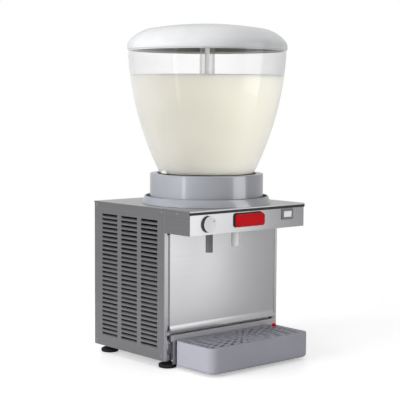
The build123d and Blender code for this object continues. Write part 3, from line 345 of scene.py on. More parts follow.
@dataclass(frozen=True)
class Moulded(Finish):
    """Moulded plastic or rubber with a fine spark-eroded grain.

    Attributes:
        cell: The grain's repeats per metre.
        depth: The grain's height in metres.
        coat: The strength of a clear gloss on top.
        edge: The radius of its edges, in metres.
        shine: How strongly its own surface mirrors, 0.5 being usual.
        cloud: The slow changes' repeats per metre.
        uneven: How far the slow changes shift the tone.
        mottle: How far the grain shifts the roughness.
        relief: How much of the grain's height shows.
        coat_rough: The clear gloss's own roughness.
    """

    cell: float = 900.0
    depth: float = 0.00006
    coat: float = 0.0
    edge: float = 0.0007
    shine: float = 0.5
    cloud: ClassVar[float] = 14.0
    uneven: ClassVar[float] = 0.03
    mottle: ClassVar[float] = 0.15
    relief: ClassVar[float] = 0.35
    coat_rough: ClassVar[float] = 0.06

    def fill(self, sheet: NodeSheet) -> None:
        """Lay out the grain, a slow change of tone and the gloss.

        Args:
            sheet: The node tree to fill.
        """
        grain = sheet.noise((self.cell,) * 3, 2.0)
        low, high = self.rough * (1.0 - self.mottle), self.rough * (1.0 + self.mottle)
        sheet.shade(sheet.noise((self.cloud,) * 3, 2.0), self.tone, self.uneven, self.uneven)
        sheet.feed(Roughness=sheet.spread(grain, low, high))
        sheet.bump(grain, self.relief, self.depth, self.edge)
        sheet.set(Coat_Weight=self.coat, Coat_Roughness=self.coat_rough,
                  Specular_IOR_Level=self.shine)


@dataclass(frozen=True)
class Clear(Finish):
    """Clear plastic that is fuller at its edges than face on.

    Attributes:
        face: How much shows where the wall is seen face on.
        edge: How much shows where the wall is seen edge on.
        waves: The moulding waves' repeats per metre.
        wave_height: The waves' height in metres.
        relief: How much of that height shows.
        uneven: How far the waves shift the tone.
        bias: How early the change from face to edge comes.
        index: How strongly the wall bends and mirrors light.
    """

    face: float = 0.12
    edge: float = 0.75
    waves: ClassVar[Point] = (12.0, 12.0, 5.0)
    wave_height: ClassVar[float] = 0.0008
    relief: ClassVar[float] = 0.08
    uneven: ClassVar[float] = 0.02
    bias: ClassVar[float] = 0.35
    index: ClassVar[float] = 2.0

    def fill(self, sheet: NodeSheet) -> None:
        """Lay out the change from face to edge, and faint moulding waves.

        Args:
            sheet: The node tree to fill.
        """
        weight = sheet.add("ShaderNodeLayerWeight", Blend=self.bias)
        sheet.feed(Alpha=sheet.ramp(weight.outputs["Facing"], To_Min=self.face, To_Max=self.edge))
        waves = sheet.noise(self.waves, 2.0)
        sheet.shade(waves, self.tone, self.uneven, self.uneven)
        sheet.bump(waves, self.relief, self.wave_height)
        sheet.set(Roughness=self.rough, IOR=self.index)


@dataclass(frozen=True)
class Milky(Finish):
    """A milky drink: soft inside, slightly uneven and wet on top.

    Attributes:
        swirl: The swirls' repeats per metre.
        darker: How far the swirls darken the tone.
        lighter: How far they lighten it.
        ripple: The fine ripples' repeats per metre.
        ripple_height: The ripples' height in metres.
        relief: How much of that height shows.
        reach: How far light goes inside, in metres.
        travel: How far each colour goes, against that.
    """

    swirl: ClassVar[Point] = (7.0, 7.0, 16.0)
    darker: ClassVar[float] = 0.025
    lighter: ClassVar[float] = 0.015
    ripple: ClassVar[float] = 420.0
    ripple_height: ClassVar[float] = 0.00008
    relief: ClassVar[float] = 0.1
    reach: ClassVar[float] = 0.07
    travel: ClassVar[Colour] = (1.0, 0.96, 0.88)

    def fill(self, sheet: NodeSheet) -> None:
        """Lay out slow swirls and the soft depth.

        Args:
            sheet: The node tree to fill.
        """
        sheet.shade(sheet.noise(self.swirl), self.tone, self.darker, self.lighter)
        sheet.bump(sheet.noise((self.ripple,) * 3, 1.0), self.relief, self.ripple_height)
        sheet.set(Roughness=self.rough, Subsurface_Weight=1.0, Subsurface_Scale=self.reach,
                  Subsurface_Radius=self.travel)


# The finishes, with the tone and the roughness first
CABINET_STEEL = Steel("cabinet_steel", (0.63, 0.62, 0.65), 0.38, Grain.ALONG_Y)
TOP_STEEL = Steel("top_steel", (0.63, 0.63, 0.64), 0.36, Grain.ALONG_X)
FRONT_STEEL = Steel("front_steel", (0.67, 0.67, 0.685), 0.25, Grain.ALONG_X, 0.02, streak=0.9)
INNER_STEEL = Steel("inner_steel", (0.6, 0.6, 0.62), 0.52)
SCREW_STEEL = Steel("screw_steel", (0.8, 0.8, 0.82), 0.22, edge=0.0002)
DOME_STEEL = Steel("dome_steel", (0.72, 0.72, 0.74), 0.2, Grain.ALONG_Z)
COPPER = Steel("bare_copper", (0.62, 0.3, 0.19), 0.3, Grain.EVEN, 0.14)
FIN_METAL = Steel("fin_metal", (0.35, 0.35, 0.36), 0.4, Grain.ALONG_Z, 0.1)
MOTOR_STEEL = Steel("motor_steel", (0.2, 0.2, 0.21), 0.45)
SHROUD_STEEL = Steel("shroud_steel", (0.05, 0.05, 0.055), 0.55)
CAP_PALE = Moulded("cap_pale", (0.8, 0.82, 0.81), 0.4, 900.0, 0.00003, edge=0.0003)
ENAMEL = Moulded("black_enamel", (0.012, 0.012, 0.013), 0.3, 90.0, 0.0003, 0.6)
TRIM_BLACK = Moulded("trim_black", (0.022, 0.022, 0.025), 0.5)
BEZEL_GREY = Moulded("bezel_grey", (0.27, 0.27, 0.28), 0.38, 1200.0, 0.00003, 0.2, 0.0003)
COLLAR_GREY = Moulded("collar_grey", (0.375, 0.388, 0.427), 0.3, 1400.0, 0.00002, 0.6)
SEAL_BLACK = Moulded("seal_black", (0.012, 0.012, 0.013), 0.7)
FOOT_RUBBER = Moulded("foot_rubber", (0.012, 0.012, 0.014), 0.62, 700.0, 0.0001)
LID_WHITE = Moulded("lid_white", (0.8, 0.81, 0.825), 0.25, 1600.0, 0.00001, 0.7)
# The lid liner's dark tone is painted shade: it stands in for the shaded inside of the dome.
LINER_PAINTED_SHADE = Moulded("liner_dark", (0.14, 0.132, 0.112), 0.6)
MIXER_WHITE = Moulded("mixer_white", (0.92, 0.92, 0.9), 0.4)
TAP_RED = Moulded("tap_red", (0.78, 0.006, 0.012), 0.5, 1200.0, 0.00002, shine=0.12)
SILICONE = Moulded("silicone", (0.72, 0.72, 0.68), 0.45, 500.0, 0.00008)
SPOUT_PALE = Moulded("spout_pale", (0.88, 0.88, 0.87), 0.35)
DRAIN_GREY = Moulded("drain_grey", (0.19, 0.187, 0.2), 0.5)
# Near-black knob tone: on the knob's body it is painted shade for the shaded side wall, on the
# pointer a real dark mark.
KNOB_MARK_AND_SHADE_BLACK = Moulded("knob_black", (0.05, 0.04, 0.046), 0.4, edge=0.0003)
FAN_BLACK = Moulded("fan_black", (0.05, 0.05, 0.055), 0.5)
# Near-black filter felt: painted shade, a dark sheet that makes the slots in the sides and the rear
# read dark.
FILTER_FELT_SHADE = Moulded("filter_felt_painted_shade", (0.02, 0.02, 0.022), 0.85, 300.0, 0.0006, shine=0.2)
TRAY_GREY = Moulded("tray_grey", (0.427, 0.427, 0.49), 0.4, 900.0, 0.00003)
GRID_GREY = Moulded("grid_grey", (0.32, 0.32, 0.375), 0.5, 900.0, 0.00006)
BOWL_CLEAR = Clear("bowl_clear", (0.95, 0.95, 0.965), 0.04, 0.02, 0.38)
LUG_CLEAR = Clear("lug_clear", (0.93, 0.93, 0.88), 0.12, 0.75, 0.95)
PUMP_CLEAR = Clear("pump_clear", (0.95, 0.95, 0.955), 0.08, 0.04, 0.5)
DRINK = Milky("milky_drink", (0.6, 0.583, 0.51), 0.3)

# The solids that wear each finish
CAD_FINISHES: dict[Finish, tuple[str, ...]] = {
    CABINET_STEEL: ("side_panel_left", "side_panel_right", "rear_panel", "fascia_housing"),
    TOP_STEEL: ("top_plate",),
    FRONT_STEEL: ("fascia_front", "splash_panel"),
    INNER_STEEL: ("base_pan", "kick_panel", "tray_bracket", "tap_frame"),
    SCREW_STEEL: ("side_screws", "rear_screws", "kick_screws", "tap_rods", "tap_springs",
                  "thermostat_spindle"),
    DOME_STEEL: ("evaporator_dome", "dome_flange"),
    COPPER: ("evaporator_coil", "refrigerant_pipes"),
    FIN_METAL: ("condenser",),
    MOTOR_STEEL: ("mixer_motor", "fan_motor", "drive_magnet"),
    SHROUD_STEEL: ("fan_shroud",),
    ENAMEL: ("compressor",),
    TRIM_BLACK: ("top_edge_trim", "cord_gland", "push_block", "thermostat"),
    BEZEL_GREY: ("switch_case",),
    COLLAR_GREY: ("collar", "collar_gutter"),
    SEAL_BLACK: ("bowl_seal", "hub_seal", "compressor_grommets"),
    FOOT_RUBBER: ("foot_front_left", "foot_front_right", "foot_rear_left", "foot_rear_right"),
    LID_WHITE: ("lid",),
    LINER_PAINTED_SHADE: ("lid_liner",),
    MIXER_WHITE: ("impeller", "pinch_jaw", "switch_rocker"),
    TAP_RED: ("push_plate", "tray_float"),
    SILICONE: ("drink_tube",),
    SPOUT_PALE: ("spout",),
    DRAIN_GREY: ("drain_tube",),
    KNOB_MARK_AND_SHADE_BLACK: ("thermostat_knob",),
    FAN_BLACK: ("condenser_fan",),
    TRAY_GREY: ("drip_tray",),
    GRID_GREY: ("drip_grid",),
    BOWL_CLEAR: ("bowl",),
    PUMP_CLEAR: ("pump_housing", "riser_tube"),
}

# Solids that glossy surfaces do not mirror
UNMIRRORED = ("drain_tube", "spout")


def dress(piece: bpy.types.Object, finish: Finish) -> None:
    """Give every material slot of a piece one finish.

    Args:
        piece: The object to dress.
        finish: The finish that it gets.
    """
    if not piece.material_slots:
        piece.data.materials.append(finish.material())
    for slot in piece.material_slots:
        slot.material = finish.material()


def dress_cad_nodes() -> None:
    """Dress every carried solid in its finish."""
    for finish, names in CAD_FINISHES.items():
        for name in names:
            dress(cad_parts[name], finish)
    for name in UNMIRRORED:
        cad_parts[name].visible_glossy = False
    log.info("dressed %d solids", sum(len(names) for names in CAD_FINISHES.values()))


def shift(x: float = 0.0, y: float = 0.0, z: float = 0.0) -> Matrix:
    """Give a move in millimetres."""
    return Matrix.Translation((x * MM, y * MM, z * MM))


def spin(degrees: float, axis: str = "Z") -> Matrix:
    """Give a turn about an axis."""
    return Matrix.Rotation(math.radians(degrees), 4, axis)


def facing(origin: Point, out: Point) -> Matrix:
    """Give a frame at a point in millimetres, with its Z pointing out of a surface."""
    return shift(*origin) @ Vector(out).to_track_quat("Z", "Y").to_matrix().to_4x4()


def spot(place: Matrix, x: float, y: float, z: float) -> Point:
    """Give a point in metres from millimetres in a frame."""
    return tuple(place @ Vector((x * MM, y * MM, z * MM)))


def turns(steps: int) -> list[float]:
    """Give the angles of even steps round a full turn."""
    return [2 * math.pi * k / steps for k in range(steps)]


def circle(place: Matrix, radius: float, level: float, steps: int) -> list[Point]:
    """Give even points about the Z of a frame, in metres from millimetres."""
    return [spot(place, radius * math.cos(turn), radius * math.sin(turn), level)
            for turn in turns(steps)]


def pebble(width: float, height: float, corner: float) -> list[Pair]:
    """Give the outline of a rectangle with round corners, about the origin.

    Args:
        width: Its size across.
        height: Its size up.
        corner: The corner radius.

    Returns:
        The points, anticlockwise.
    """
    points = []
    for quarter, (sx, sy) in enumerate(((1, 1), (-1, 1), (-1, -1), (1, -1))):
        for k in range(CORNER_STEPS + 1):
            turn = math.pi / 2 * (quarter + k / CORNER_STEPS)
            points.append((sx * (width / 2 - corner) + corner * math.cos(turn),
                           sy * (height / 2 - corner) + corner * math.sin(turn)))
    return points


def helix(radius: float, start: float, end: float, rounds: float, place: Matrix,
          steps: int = 24) -> list[Point]:
    """Give points on a helix about the Z of a frame.

    Args:
        radius: Its radius, in millimetres.
        start: The height of its first point, in millimetres.
        end: The height of its last point, in millimetres.
        rounds: The number of turns.
        place: The frame.
        steps: The steps in a turn.

    Returns:
        The points in order, in metres.
    """
    count = round(rounds * steps)
    angles = [2 * math.pi * k / steps for k in range(count + 1)]
    return [spot(place, radius * math.cos(angle), radius * math.sin(angle),
                 start + (end - start) * k / count) for k, angle in enumerate(angles)]


def eased(start: Pair, pull: Pair, push: Pair, end: Pair, steps: int) -> list[Pair]:
    """Give points on a cubic curve that leaves and arrives towards two handles.

    Args:
        start: The first point.
        pull: The handle of the first point.
        push: The handle of the last point.
        end: The last point.
        steps: The number of steps.

    Returns:
        The points, both ends included.
    """
    points = []
    for k in range(steps + 1):
        t = k / steps
        weights = ((1 - t) ** 3, 3 * t * (1 - t) ** 2, 3 * t * t * (1 - t), t**3)
        corners = (start, pull, push, end)
        points.append(tuple(sum(w * c[axis] for w, c in zip(weights, corners)) for axis in (0, 1)))
    return points


def arc_through(start: Pair, middle: Pair, end: Pair, steps: int) -> list[Pair]:
    """Give points on the circle through three points.

    Args:
        start: The first point.
        middle: A point between them.
        end: The last point.
        steps: The number of steps.

    Returns:
        The points, both ends included.
    """
    (ax, ay), (bx, by), (cx, cy) = start, middle, end
    span = 2 * (ax * (by - cy) + bx * (cy - ay) + cx * (ay - by))
    a, b, c = ax**2 + ay**2, bx**2 + by**2, cx**2 + cy**2
    ux = (a * (by - cy) + b * (cy - ay) + c * (ay - by)) / span
    uy = (a * (cx - bx) + b * (ax - cx) + c * (bx - ax)) / span
    radius = math.hypot(ax - ux, ay - uy)
    first = math.atan2(ay - uy, ax - ux)
    turn = (math.atan2(cy - uy, cx - ux) - first + math.pi) % (2 * math.pi) - math.pi
    angles = [first + turn * k / steps for k in range(steps + 1)]
    return [(ux + radius * math.cos(angle), uy + radius * math.sin(angle)) for angle in angles]


# The upright frame on the plate, on the bowl's axis
ON_PLATE: Matrix = shift(0.0, BOWL_Y, PLATE_Z)


class Form:
    """A mesh under work, which takes millimetres in a frame and becomes one piece."""

    def __init__(self) -> None:
        """Start with an empty mesh."""
        self.mesh = bmesh.new()

    def skin(self, rings: Sequence[Sequence[Point]], loop: bool = False) -> Self:
        """Join rings of points with faces. A ring of one point is a pole.

        Args:
            rings: The rings in order, each with the same number of points or with one.
            loop: Whether the last ring joins the first.

        Returns:
            The form itself.
        """
        rows = [[self.mesh.verts.new(point) for point in ring] for ring in rings]
        pairs = list(zip(rows, rows[1:])) + ([(rows[-1], rows[0])] if loop else [])
        for here, there in pairs:
            for k in range(max(len(here), len(there))):
                corners = (here[k % len(here)], here[(k + 1) % len(here)],
                           there[(k + 1) % len(there)], there[k % len(there)])
                unique = list(dict.fromkeys(corners))
                if len(unique) > 2:
                    self.mesh.faces.new(unique)
        return self

    def lathe(self, profile: Sequence[Pair], place: Matrix, steps: int = ROUND_STEPS,
              flutes: int = 0, fluted: Sequence[int] = ()) -> Self:
        """Turn a closed profile round the Z of a frame, with flutes in part of it if asked.

        Args:
            profile: Radius and height of each corner, in order.
            place: The frame in which it turns.
            steps: The number of steps round the axis.
            flutes: The number of flutes.
            fluted: Which corners of the profile are fluted.

        Returns:
            The form itself.
        """
        rings: list[list[Point]] = []
        for index, (radius, level) in enumerate(profile):
            if radius < POLE_RADIUS:
                rings.append([spot(place, 0.0, 0.0, level)])
                continue
            cut = FLUTE_DEPTH if index in fluted else 0.0
            ring = []
            for turn in turns(steps):
                reach = radius - cut * (0.5 - 0.5 * math.cos(flutes * turn))
                ring.append(spot(place, reach * math.cos(turn), reach * math.sin(turn), level))
            rings.append(ring)
        return self.skin(rings, loop=True)

    def pad(self, layers: Sequence[Layer], place: Matrix) -> Self:
        """Stack rounded rectangles into one closed form.

        Args:
            layers: Width, height, corner radius and level of each outline, in order.
            place: The frame whose Z is the level.

        Returns:
            The form itself.
        """
        rings = [[spot(place, x, y, level) for x, y in pebble(width, height, corner)]
                 for width, height, corner, level in layers]
        first, last = ([spot(place, 0.0, 0.0, layers[end][3])] for end in (0, -1))
        return self.skin([first, *rings, last])

    def tube(self, line: Sequence[Point], radius: float, sides: int = 8,
             loop: bool = False) -> Self:
        """Sweep a round wire along points.

        Args:
            line: The middle line, in metres.
            radius: The wire's radius, in millimetres.
            sides: The sides of its section.
            loop: Whether the wire closes on itself.

        Returns:
            The form itself.
        """
        points, count = [Vector(point) for point in line], len(line)
        rings: list[list[Point]] = []
        across = (points[1] - points[-1 if loop else 0]).normalized().orthogonal()
        for k, here in enumerate(points):
            before = points[(k - 1) % count] if loop else points[max(k - 1, 0)]
            after = points[(k + 1) % count] if loop else points[min(k + 1, count - 1)]
            along = (after - before).normalized()
            across = (across - along * across.dot(along)).normalized()
            third = along.cross(across)
            outward = [across * math.cos(turn) + third * math.sin(turn) for turn in turns(sides)]
            rings.append([tuple(here + way * (radius * MM)) for way in outward])
        if not loop:
            rings = [[tuple(points[0])], *rings, [tuple(points[-1])]]
        return self.skin(rings, loop)

    def piece(self, name: str, finish: Finish, body: Body, slot: str, *stands_for: str,
              crease: float = 35.0) -> bpy.types.Object:
        """Turn the form into a finished piece that rides on a body.

        Args:
            name: The piece's name.
            finish: The finish that it gets.
            body: The body that it rides on.
            slot: The record's material slot, which is not used.
            *stands_for: The solids that it is shown instead of.
            crease: The angle in degrees over which an edge stays sharp.

        Returns:
            The new object.
        """
        bmesh.ops.recalc_face_normals(self.mesh, faces=self.mesh.faces)
        mesh = bpy.data.meshes.new(name)
        self.mesh.to_mesh(mesh)
        self.mesh.free()
        for face in mesh.polygons:
            face.use_smooth = True
        mesh.set_sharp_from_angle(angle=math.radians(crease))
        piece = bpy.data.objects.new(name, mesh)
        bpy.context.scene.collection.objects.link(piece)
        dress(piece, finish)
        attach(piece, body.value)
        if stands_for:
            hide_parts(*stands_for)
        log.info("built %s with %d faces", name, len(mesh.polygons))
        return piece


@dataclass
class Bowl:
    """The clear bowl with its outlet and lugs, and the drink inside it. Sizes in millimetres.

    Attributes:
        wall: How thick the clear wall looks.
        film: How far the drink stays inside the outer surface.
        surface: The height of the drink's surface over the plate.
        lug_turn: The angle at which the first lug stands.
        lug_reach: How far from the axis the lugs stand.
        neck: The outer radius and height of the wall at its foot.
        waist: The same, half-way up.
        lip: The same, at the top.
        rim: The height at which the rim's own section starts.
        outlet: Where the outlet stands, as x and y.
    """

    wall: float = 1.2
    film: float = 1.5
    surface: float = 284.0
    lug_turn: float = 172.0
    lug_reach: float = 109.9
    neck: Pair = (106.2, 67.5)
    waist: Pair = (157.0, 205.0)
    lip: Pair = (177.1, 341.2)
    rim: float = 332.0
    outlet: Pair = (1.0, -98.0)

    def outside(self) -> list[Pair]:
        """Give the outer line of the wall from the neck to the rim."""
        return arc_through(self.neck, self.waist, self.lip, 72)

    def build_drink(self) -> None:
        """Turn the drink's section, with a small rise where it wets the wall and the riser."""
        top = self.surface
        outer = [(r - self.film, z) for r, z in self.outside() if z < top]
        edge = outer[-1][0]
        profile = [*outer, (edge, top + 1.6), (edge - 0.9, top + 0.5), (edge - 2.6, top),
                   (21.0, top), (18.4, top + 0.5), (17.4, top + 1.4), (17.4, 191.4),
                   (42.4, 191.4), (42.4, 164.4), (62.4, 163.0), (62.4, 50.6), (67.5, 50.6),
                   (67.5, 31.4), (102.0, 31.4), (103.4, 33.4)]
        Form().lathe(profile, ON_PLATE).piece("drink", DRINK, Body.BOWL, "mixer_white")

    def build_shell(self) -> None:
        """Turn the wall, the floor and the hub, and add the outlet."""
        outer = self.outside()
        inner = [(r - self.wall, z) for r, z in reversed(outer) if z < self.rim]
        profile = [(64.0, 28.0), (102.4, 28.0), (104.2, 28.8), (105.0, 30.6), *outer[:-1],
                   (177.0, 340.8), (176.6, 341.2), (174.6, 341.2), (174.2, 340.8),
                   (174.4, 336.0), *inner, (103.8, 33.0), (102.8, 31.4), (101.0, 31.0),
                   (68.2, 31.0), (67.2, 31.8), (67.0, 33.0), (67.0, 49.4), (66.4, 50.0),
                   (64.6, 50.0), (64.0, 49.4)]
        outlet = [(4.6, 9.0), (5.9, 9.0), (6.6, 10.2), (6.6, 26.0), (8.4, 27.9), (8.4, 28.0),
                  (4.6, 28.0)]
        form = Form().lathe(profile, ON_PLATE).lathe(outlet, shift(*self.outlet, PLATE_Z), 48)
        form.piece("bowl_shell", BOWL_CLEAR, Body.BOWL, "bowl_clear", "bowl")

    def build_lugs(self) -> None:
        """Stand the two locking lugs on the neck."""
        layers = ((7.2, 17.6, 2.2, 68.9), (8.3, 18.8, 2.7, 69.4), (8.3, 18.8, 2.7, 73.9),
                  (7.7, 18.2, 2.4, 74.8), (6.3, 16.8, 1.8, 75.3))
        form = Form()
        for turn in (self.lug_turn, self.lug_turn + 180.0):
            form.pad(layers, ON_PLATE @ spin(turn) @ shift(self.lug_reach))
        form.piece("bowl_lugs", LUG_CLEAR, Body.BOWL, "bowl_clear")

    def build(self) -> None:
        """Build the drink and the bowl."""
        self.build_drink()
        self.build_shell()
        self.build_lugs()


@dataclass
class Lid:
    """The domed white lid with its straight skirt. Sizes in millimetres over its own foot.

    Attributes:
        foot: The height of its lower edge over the plate.
        wall: The wall thickness.
        radius: The skirt's outer radius.
        dome_radius: The radius at which the dome turns down to the skirt.
        dome_rise: How far the dome rises inside that radius.
        top: The height of its top.
    """

    foot: float = 341.5
    wall: float = 2.5
    radius: float = 178.5
    dome_radius: float = 130.0
    dome_rise: float = 11.0
    top: float = 57.0

    def build(self) -> None:
        """Turn the lid, with the lip that hangs inside the bowl."""
        reach, edge = self.dome_radius, self.radius
        crown = (reach**2 + self.dome_rise**2) / (2 * self.dome_rise)
        dome = [(r, self.top - crown + math.sqrt(crown**2 - r * r))
                for r in (reach * k / 26 for k in range(27))]
        knuckle = eased((reach, 46.0), (152.0, 42.2), (edge, 21.0), (edge, 9.0), 20)
        shell = dome + knuckle[1:]
        foot = [(edge, 1.0), (178.1, 0.3), (177.3, 0.0)]
        lip = [(176.2, 0.0), (172.9, 0.0), (172.9, -2.4), (170.4, -2.4), (170.4, 2.5), (175.9, 2.6)]
        inner = [(max(r - self.wall * r / edge, 0.0), z - self.wall * (1.0 - 0.6 * (r / edge) ** 6))
                 for r, z in reversed(shell)]
        form = Form().lathe([*shell, *foot, *lip, *inner], ON_PLATE @ shift(z=self.foot))
        form.piece("lid_shell", LID_WHITE, Body.LID, "lid_white", "lid", crease=50.0)


@dataclass
class Collar:
    """The round collar and the condensate gutter under it. Sizes in millimetres over the plate.

    Attributes:
        radius: The collar's outer radius.
        top: The height of its top.
    """

    radius: float = 127.3
    top: float = 67.0

    def build(self) -> None:
        """Turn the collar and the gutter."""
        edge, top = self.radius, self.top
        ring = [(edge - 3.0, 3.0), (edge, 3.0), (edge, top - 2.0), (edge - 0.25, top - 1.0),
                (edge - 1.0, top - 0.25), (edge - 2.0, top), (109.2, top), (108.6, top - 0.6),
                (108.6, top - 3.0), (edge - 4.6, top - 3.0), (edge - 3.0, top - 4.6)]
        channel = [(78.3, 0.0), (144.4, 0.0), (145.0, 0.5), (144.9, 1.4), (139.3, 16.2),
                   (138.7, 17.0), (137.2, 17.0), (136.6, 16.3), (139.6, 3.9), (139.0, 3.0),
                   (78.3, 3.0)]
        for name, profile, node in (("collar_ring", ring, "collar"),
                                    ("gutter_ring", channel, "collar_gutter")):
            form = Form().lathe(profile, ON_PLATE)
            form.piece(name, COLLAR_GREY, Body.CABINET, "collar_grey", node)


@dataclass
class Knob:
    """The thermostat knob: a fluted body in near-black, which paints the shade on its side wall,
    with a pale cap. Sizes in millimetres.

    Attributes:
        centre: The middle of its rear face.
        flutes: The number of flutes round it.
        pointing: The angle of its pointer.
        pointer_reach: How far from its middle the pointer stands.
    """

    centre: Point = (-123.8, -145.3, 318.4)
    flutes: int = 36
    pointing: float = -55.0
    pointer_reach: float = 11.6

    def build(self) -> None:
        """Turn the body, the pale skirt, the cap and the pointer."""
        place = facing(self.centre, TO_FRONT)
        body = [(0.0, 6.2), (3.05, 6.2), (3.05, 1.2), (17.4, 1.2), (17.5, 2.0), (17.5, 3.0),
                (17.4, 9.4), (17.3, 10.6), (16.9, 11.3), (0.0, 11.3)]
        skirt = [(3.05, 0.0), (17.6, 0.0), (18.2, 0.4), (18.0, 0.9), (17.0, 1.3), (3.05, 1.3)]
        cap = [(0.0, 11.0), (16.9, 11.0), (17.2, 11.2), (17.2, 11.7), (16.9, 12.1), (16.3, 12.35),
               (15.6, 12.3), (15.2, 12.15), (0.0, 12.3)]
        pointer = ((1.1, 5.0, 0.5, 11.9), (1.3, 5.2, 0.6, 12.3), (1.0, 4.9, 0.45, 12.5))
        mark = place @ spin(self.pointing) @ shift(y=self.pointer_reach)
        for piece in (
            # The body's near-black tone is painted shade on the knob's side wall.
            Form().lathe(body, place, 216, self.flutes, range(5, 8)).piece(
                "knob_body", KNOB_MARK_AND_SHADE_BLACK, Body.KNOB, "knob_black", "thermostat_knob"),
            Form().lathe(skirt, place, 96).piece(
                "knob_skirt", SCREW_STEEL, Body.KNOB, "screw_steel"),
            Form().lathe(cap, place, 96).piece(
                "knob_cap", CAP_PALE, Body.KNOB, "spout_pale"),
            Form().pad(pointer, mark).piece(
                "knob_pointer", KNOB_MARK_AND_SHADE_BLACK, Body.KNOB, "knob_black"),
        ):
            piece.visible_glossy = False


@dataclass
class Switch:
    """The mains switch: a framed well with a curved rocker. Sizes in millimetres.

    Attributes:
        centre: Its middle, on the fascia's front.
        ends: Where the rocker's end faces and their broken edges stand, across it.
        taper: The size of the end faces against the middle.
        lag: How far the rocker sits back.
    """

    centre: Point = (117.0, -144.5, 325.0)
    ends: tuple[float, ...] = (-6.75, -6.4, 6.4, 6.75)
    taper: float = 0.965
    lag: float = 0.05

    def build(self) -> None:
        """Stack the frame's outlines, then shape the rocker."""
        place = facing(self.centre, TO_FRONT)
        layers = ((25.0, 14.5, 0.5, -19.8), (25.0, 14.5, 0.5, 0.6), (27.6, 17.0, 1.2, 2.05),
                  (28.2, 17.6, 1.4, 2.2), (34.6, 23.1, 1.7, 2.2), (35.5, 24.0, 2.0, 1.9),
                  (36.0, 24.5, 2.2, 1.2), (36.0, 24.5, 2.2, 0.0), (31.0, 20.0, 1.0, 0.0),
                  (31.0, 20.0, 1.0, -22.0))
        form = Form().pad(layers, place)
        form.piece("switch_frame", BEZEL_GREY, Body.CABINET, "trim_black", "switch_case")
        outline = [*arc_through((-11.3, 1.45), (0.0, 1.15), (11.3, 2.75), 16), (11.3, -1.8),
                   (6.0, -1.4), (0.0, -1.2), (-6.0, -2.2), (-11.3, -3.3)]
        first, *inner, last = self.ends
        rings = [[spot(place, x * size, end, z * size - self.lag) for x, z in outline]
                 for end, size in ((first, self.taper), *((end, 1.0) for end in inner),
                                   (last, self.taper))]
        poles = [[spot(place, 0.0, end, -0.2)] for end in (first, last)]
        form = Form().skin([poles[0], *rings, poles[1]])
        form.piece("switch_paddle", MIXER_WHITE, Body.ROCKER, "spout_pale", "switch_rocker")


@dataclass
class Tap:
    """The red push pad, its dark block and the two coil springs. Sizes in millimetres.

    Attributes:
        centre: The middle of the block, at the depth from which its layers and the pad's count.
        offset: How far the pad stands off the block's middle, across and up.
        springs_x: Where the springs stand.
        springs_y: Where the springs start.
        spring_radius: The radius of a spring's middle line.
        spring_ends: How far from its start a spring's first and last turn lie.
        spring_turns: The number of its turns.
        spring_wire: The radius of its wire.
    """

    centre: Point = (-5.0, -152.5, 321.0)
    offset: Pair = (0.6, -0.9)
    springs_x: Pair = (-21.0, 23.0)
    springs_y: float = -136.0
    spring_radius: float = 4.6
    spring_ends: Pair = (0.8, 14.4)
    spring_turns: float = 6.0
    spring_wire: float = 0.75

    def build(self) -> None:
        """Shape the block and the pad, then wind the springs."""
        place = facing(self.centre, TO_FRONT)
        block = ((81.0, 26.2, 6.0, -16.0), (83.4, 28.4, 6.2, -15.0), (84.6, 29.6, 6.8, -6.0),
                 (84.6, 29.6, 6.8, -3.4), (84.2, 29.2, 6.6, -2.8), (83.4, 28.4, 6.4, -2.5),
                 (80.0, 25.0, 5.0, -2.5))
        cover = ((81.6, 26.6, 6.0, -4.0), (82.6, 27.2, 6.2, -3.0), (82.8, 27.4, 6.3, 0.4),
                 (82.4, 27.0, 6.2, 1.9), (81.4, 26.0, 6.0, 3.2), (79.8, 24.4, 5.6, 4.2),
                 (77.6, 22.2, 5.0, 4.8), (60.0, 11.0, 4.0, 5.0))
        for piece in (
            Form().pad(block, place).piece(
                "push_bumper", TRIM_BLACK, Body.TAP, "trim_black", "push_block"),
            Form().pad(cover, place @ shift(*self.offset)).piece(
                "push_pad", TAP_RED, Body.TAP, "tap_red", "push_plate"),
        ):
            piece.visible_glossy = False
        form = Form()
        for x in self.springs_x:
            along = facing((x, self.springs_y, self.centre[2]), TO_REAR)
            line = helix(self.spring_radius, *self.spring_ends, self.spring_turns, along)
            form.tube(line, self.spring_wire)
        coils = form.piece("spring_coils", SCREW_STEEL, Body.CABINET, "screw_steel", "tap_springs")
        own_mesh(coils)


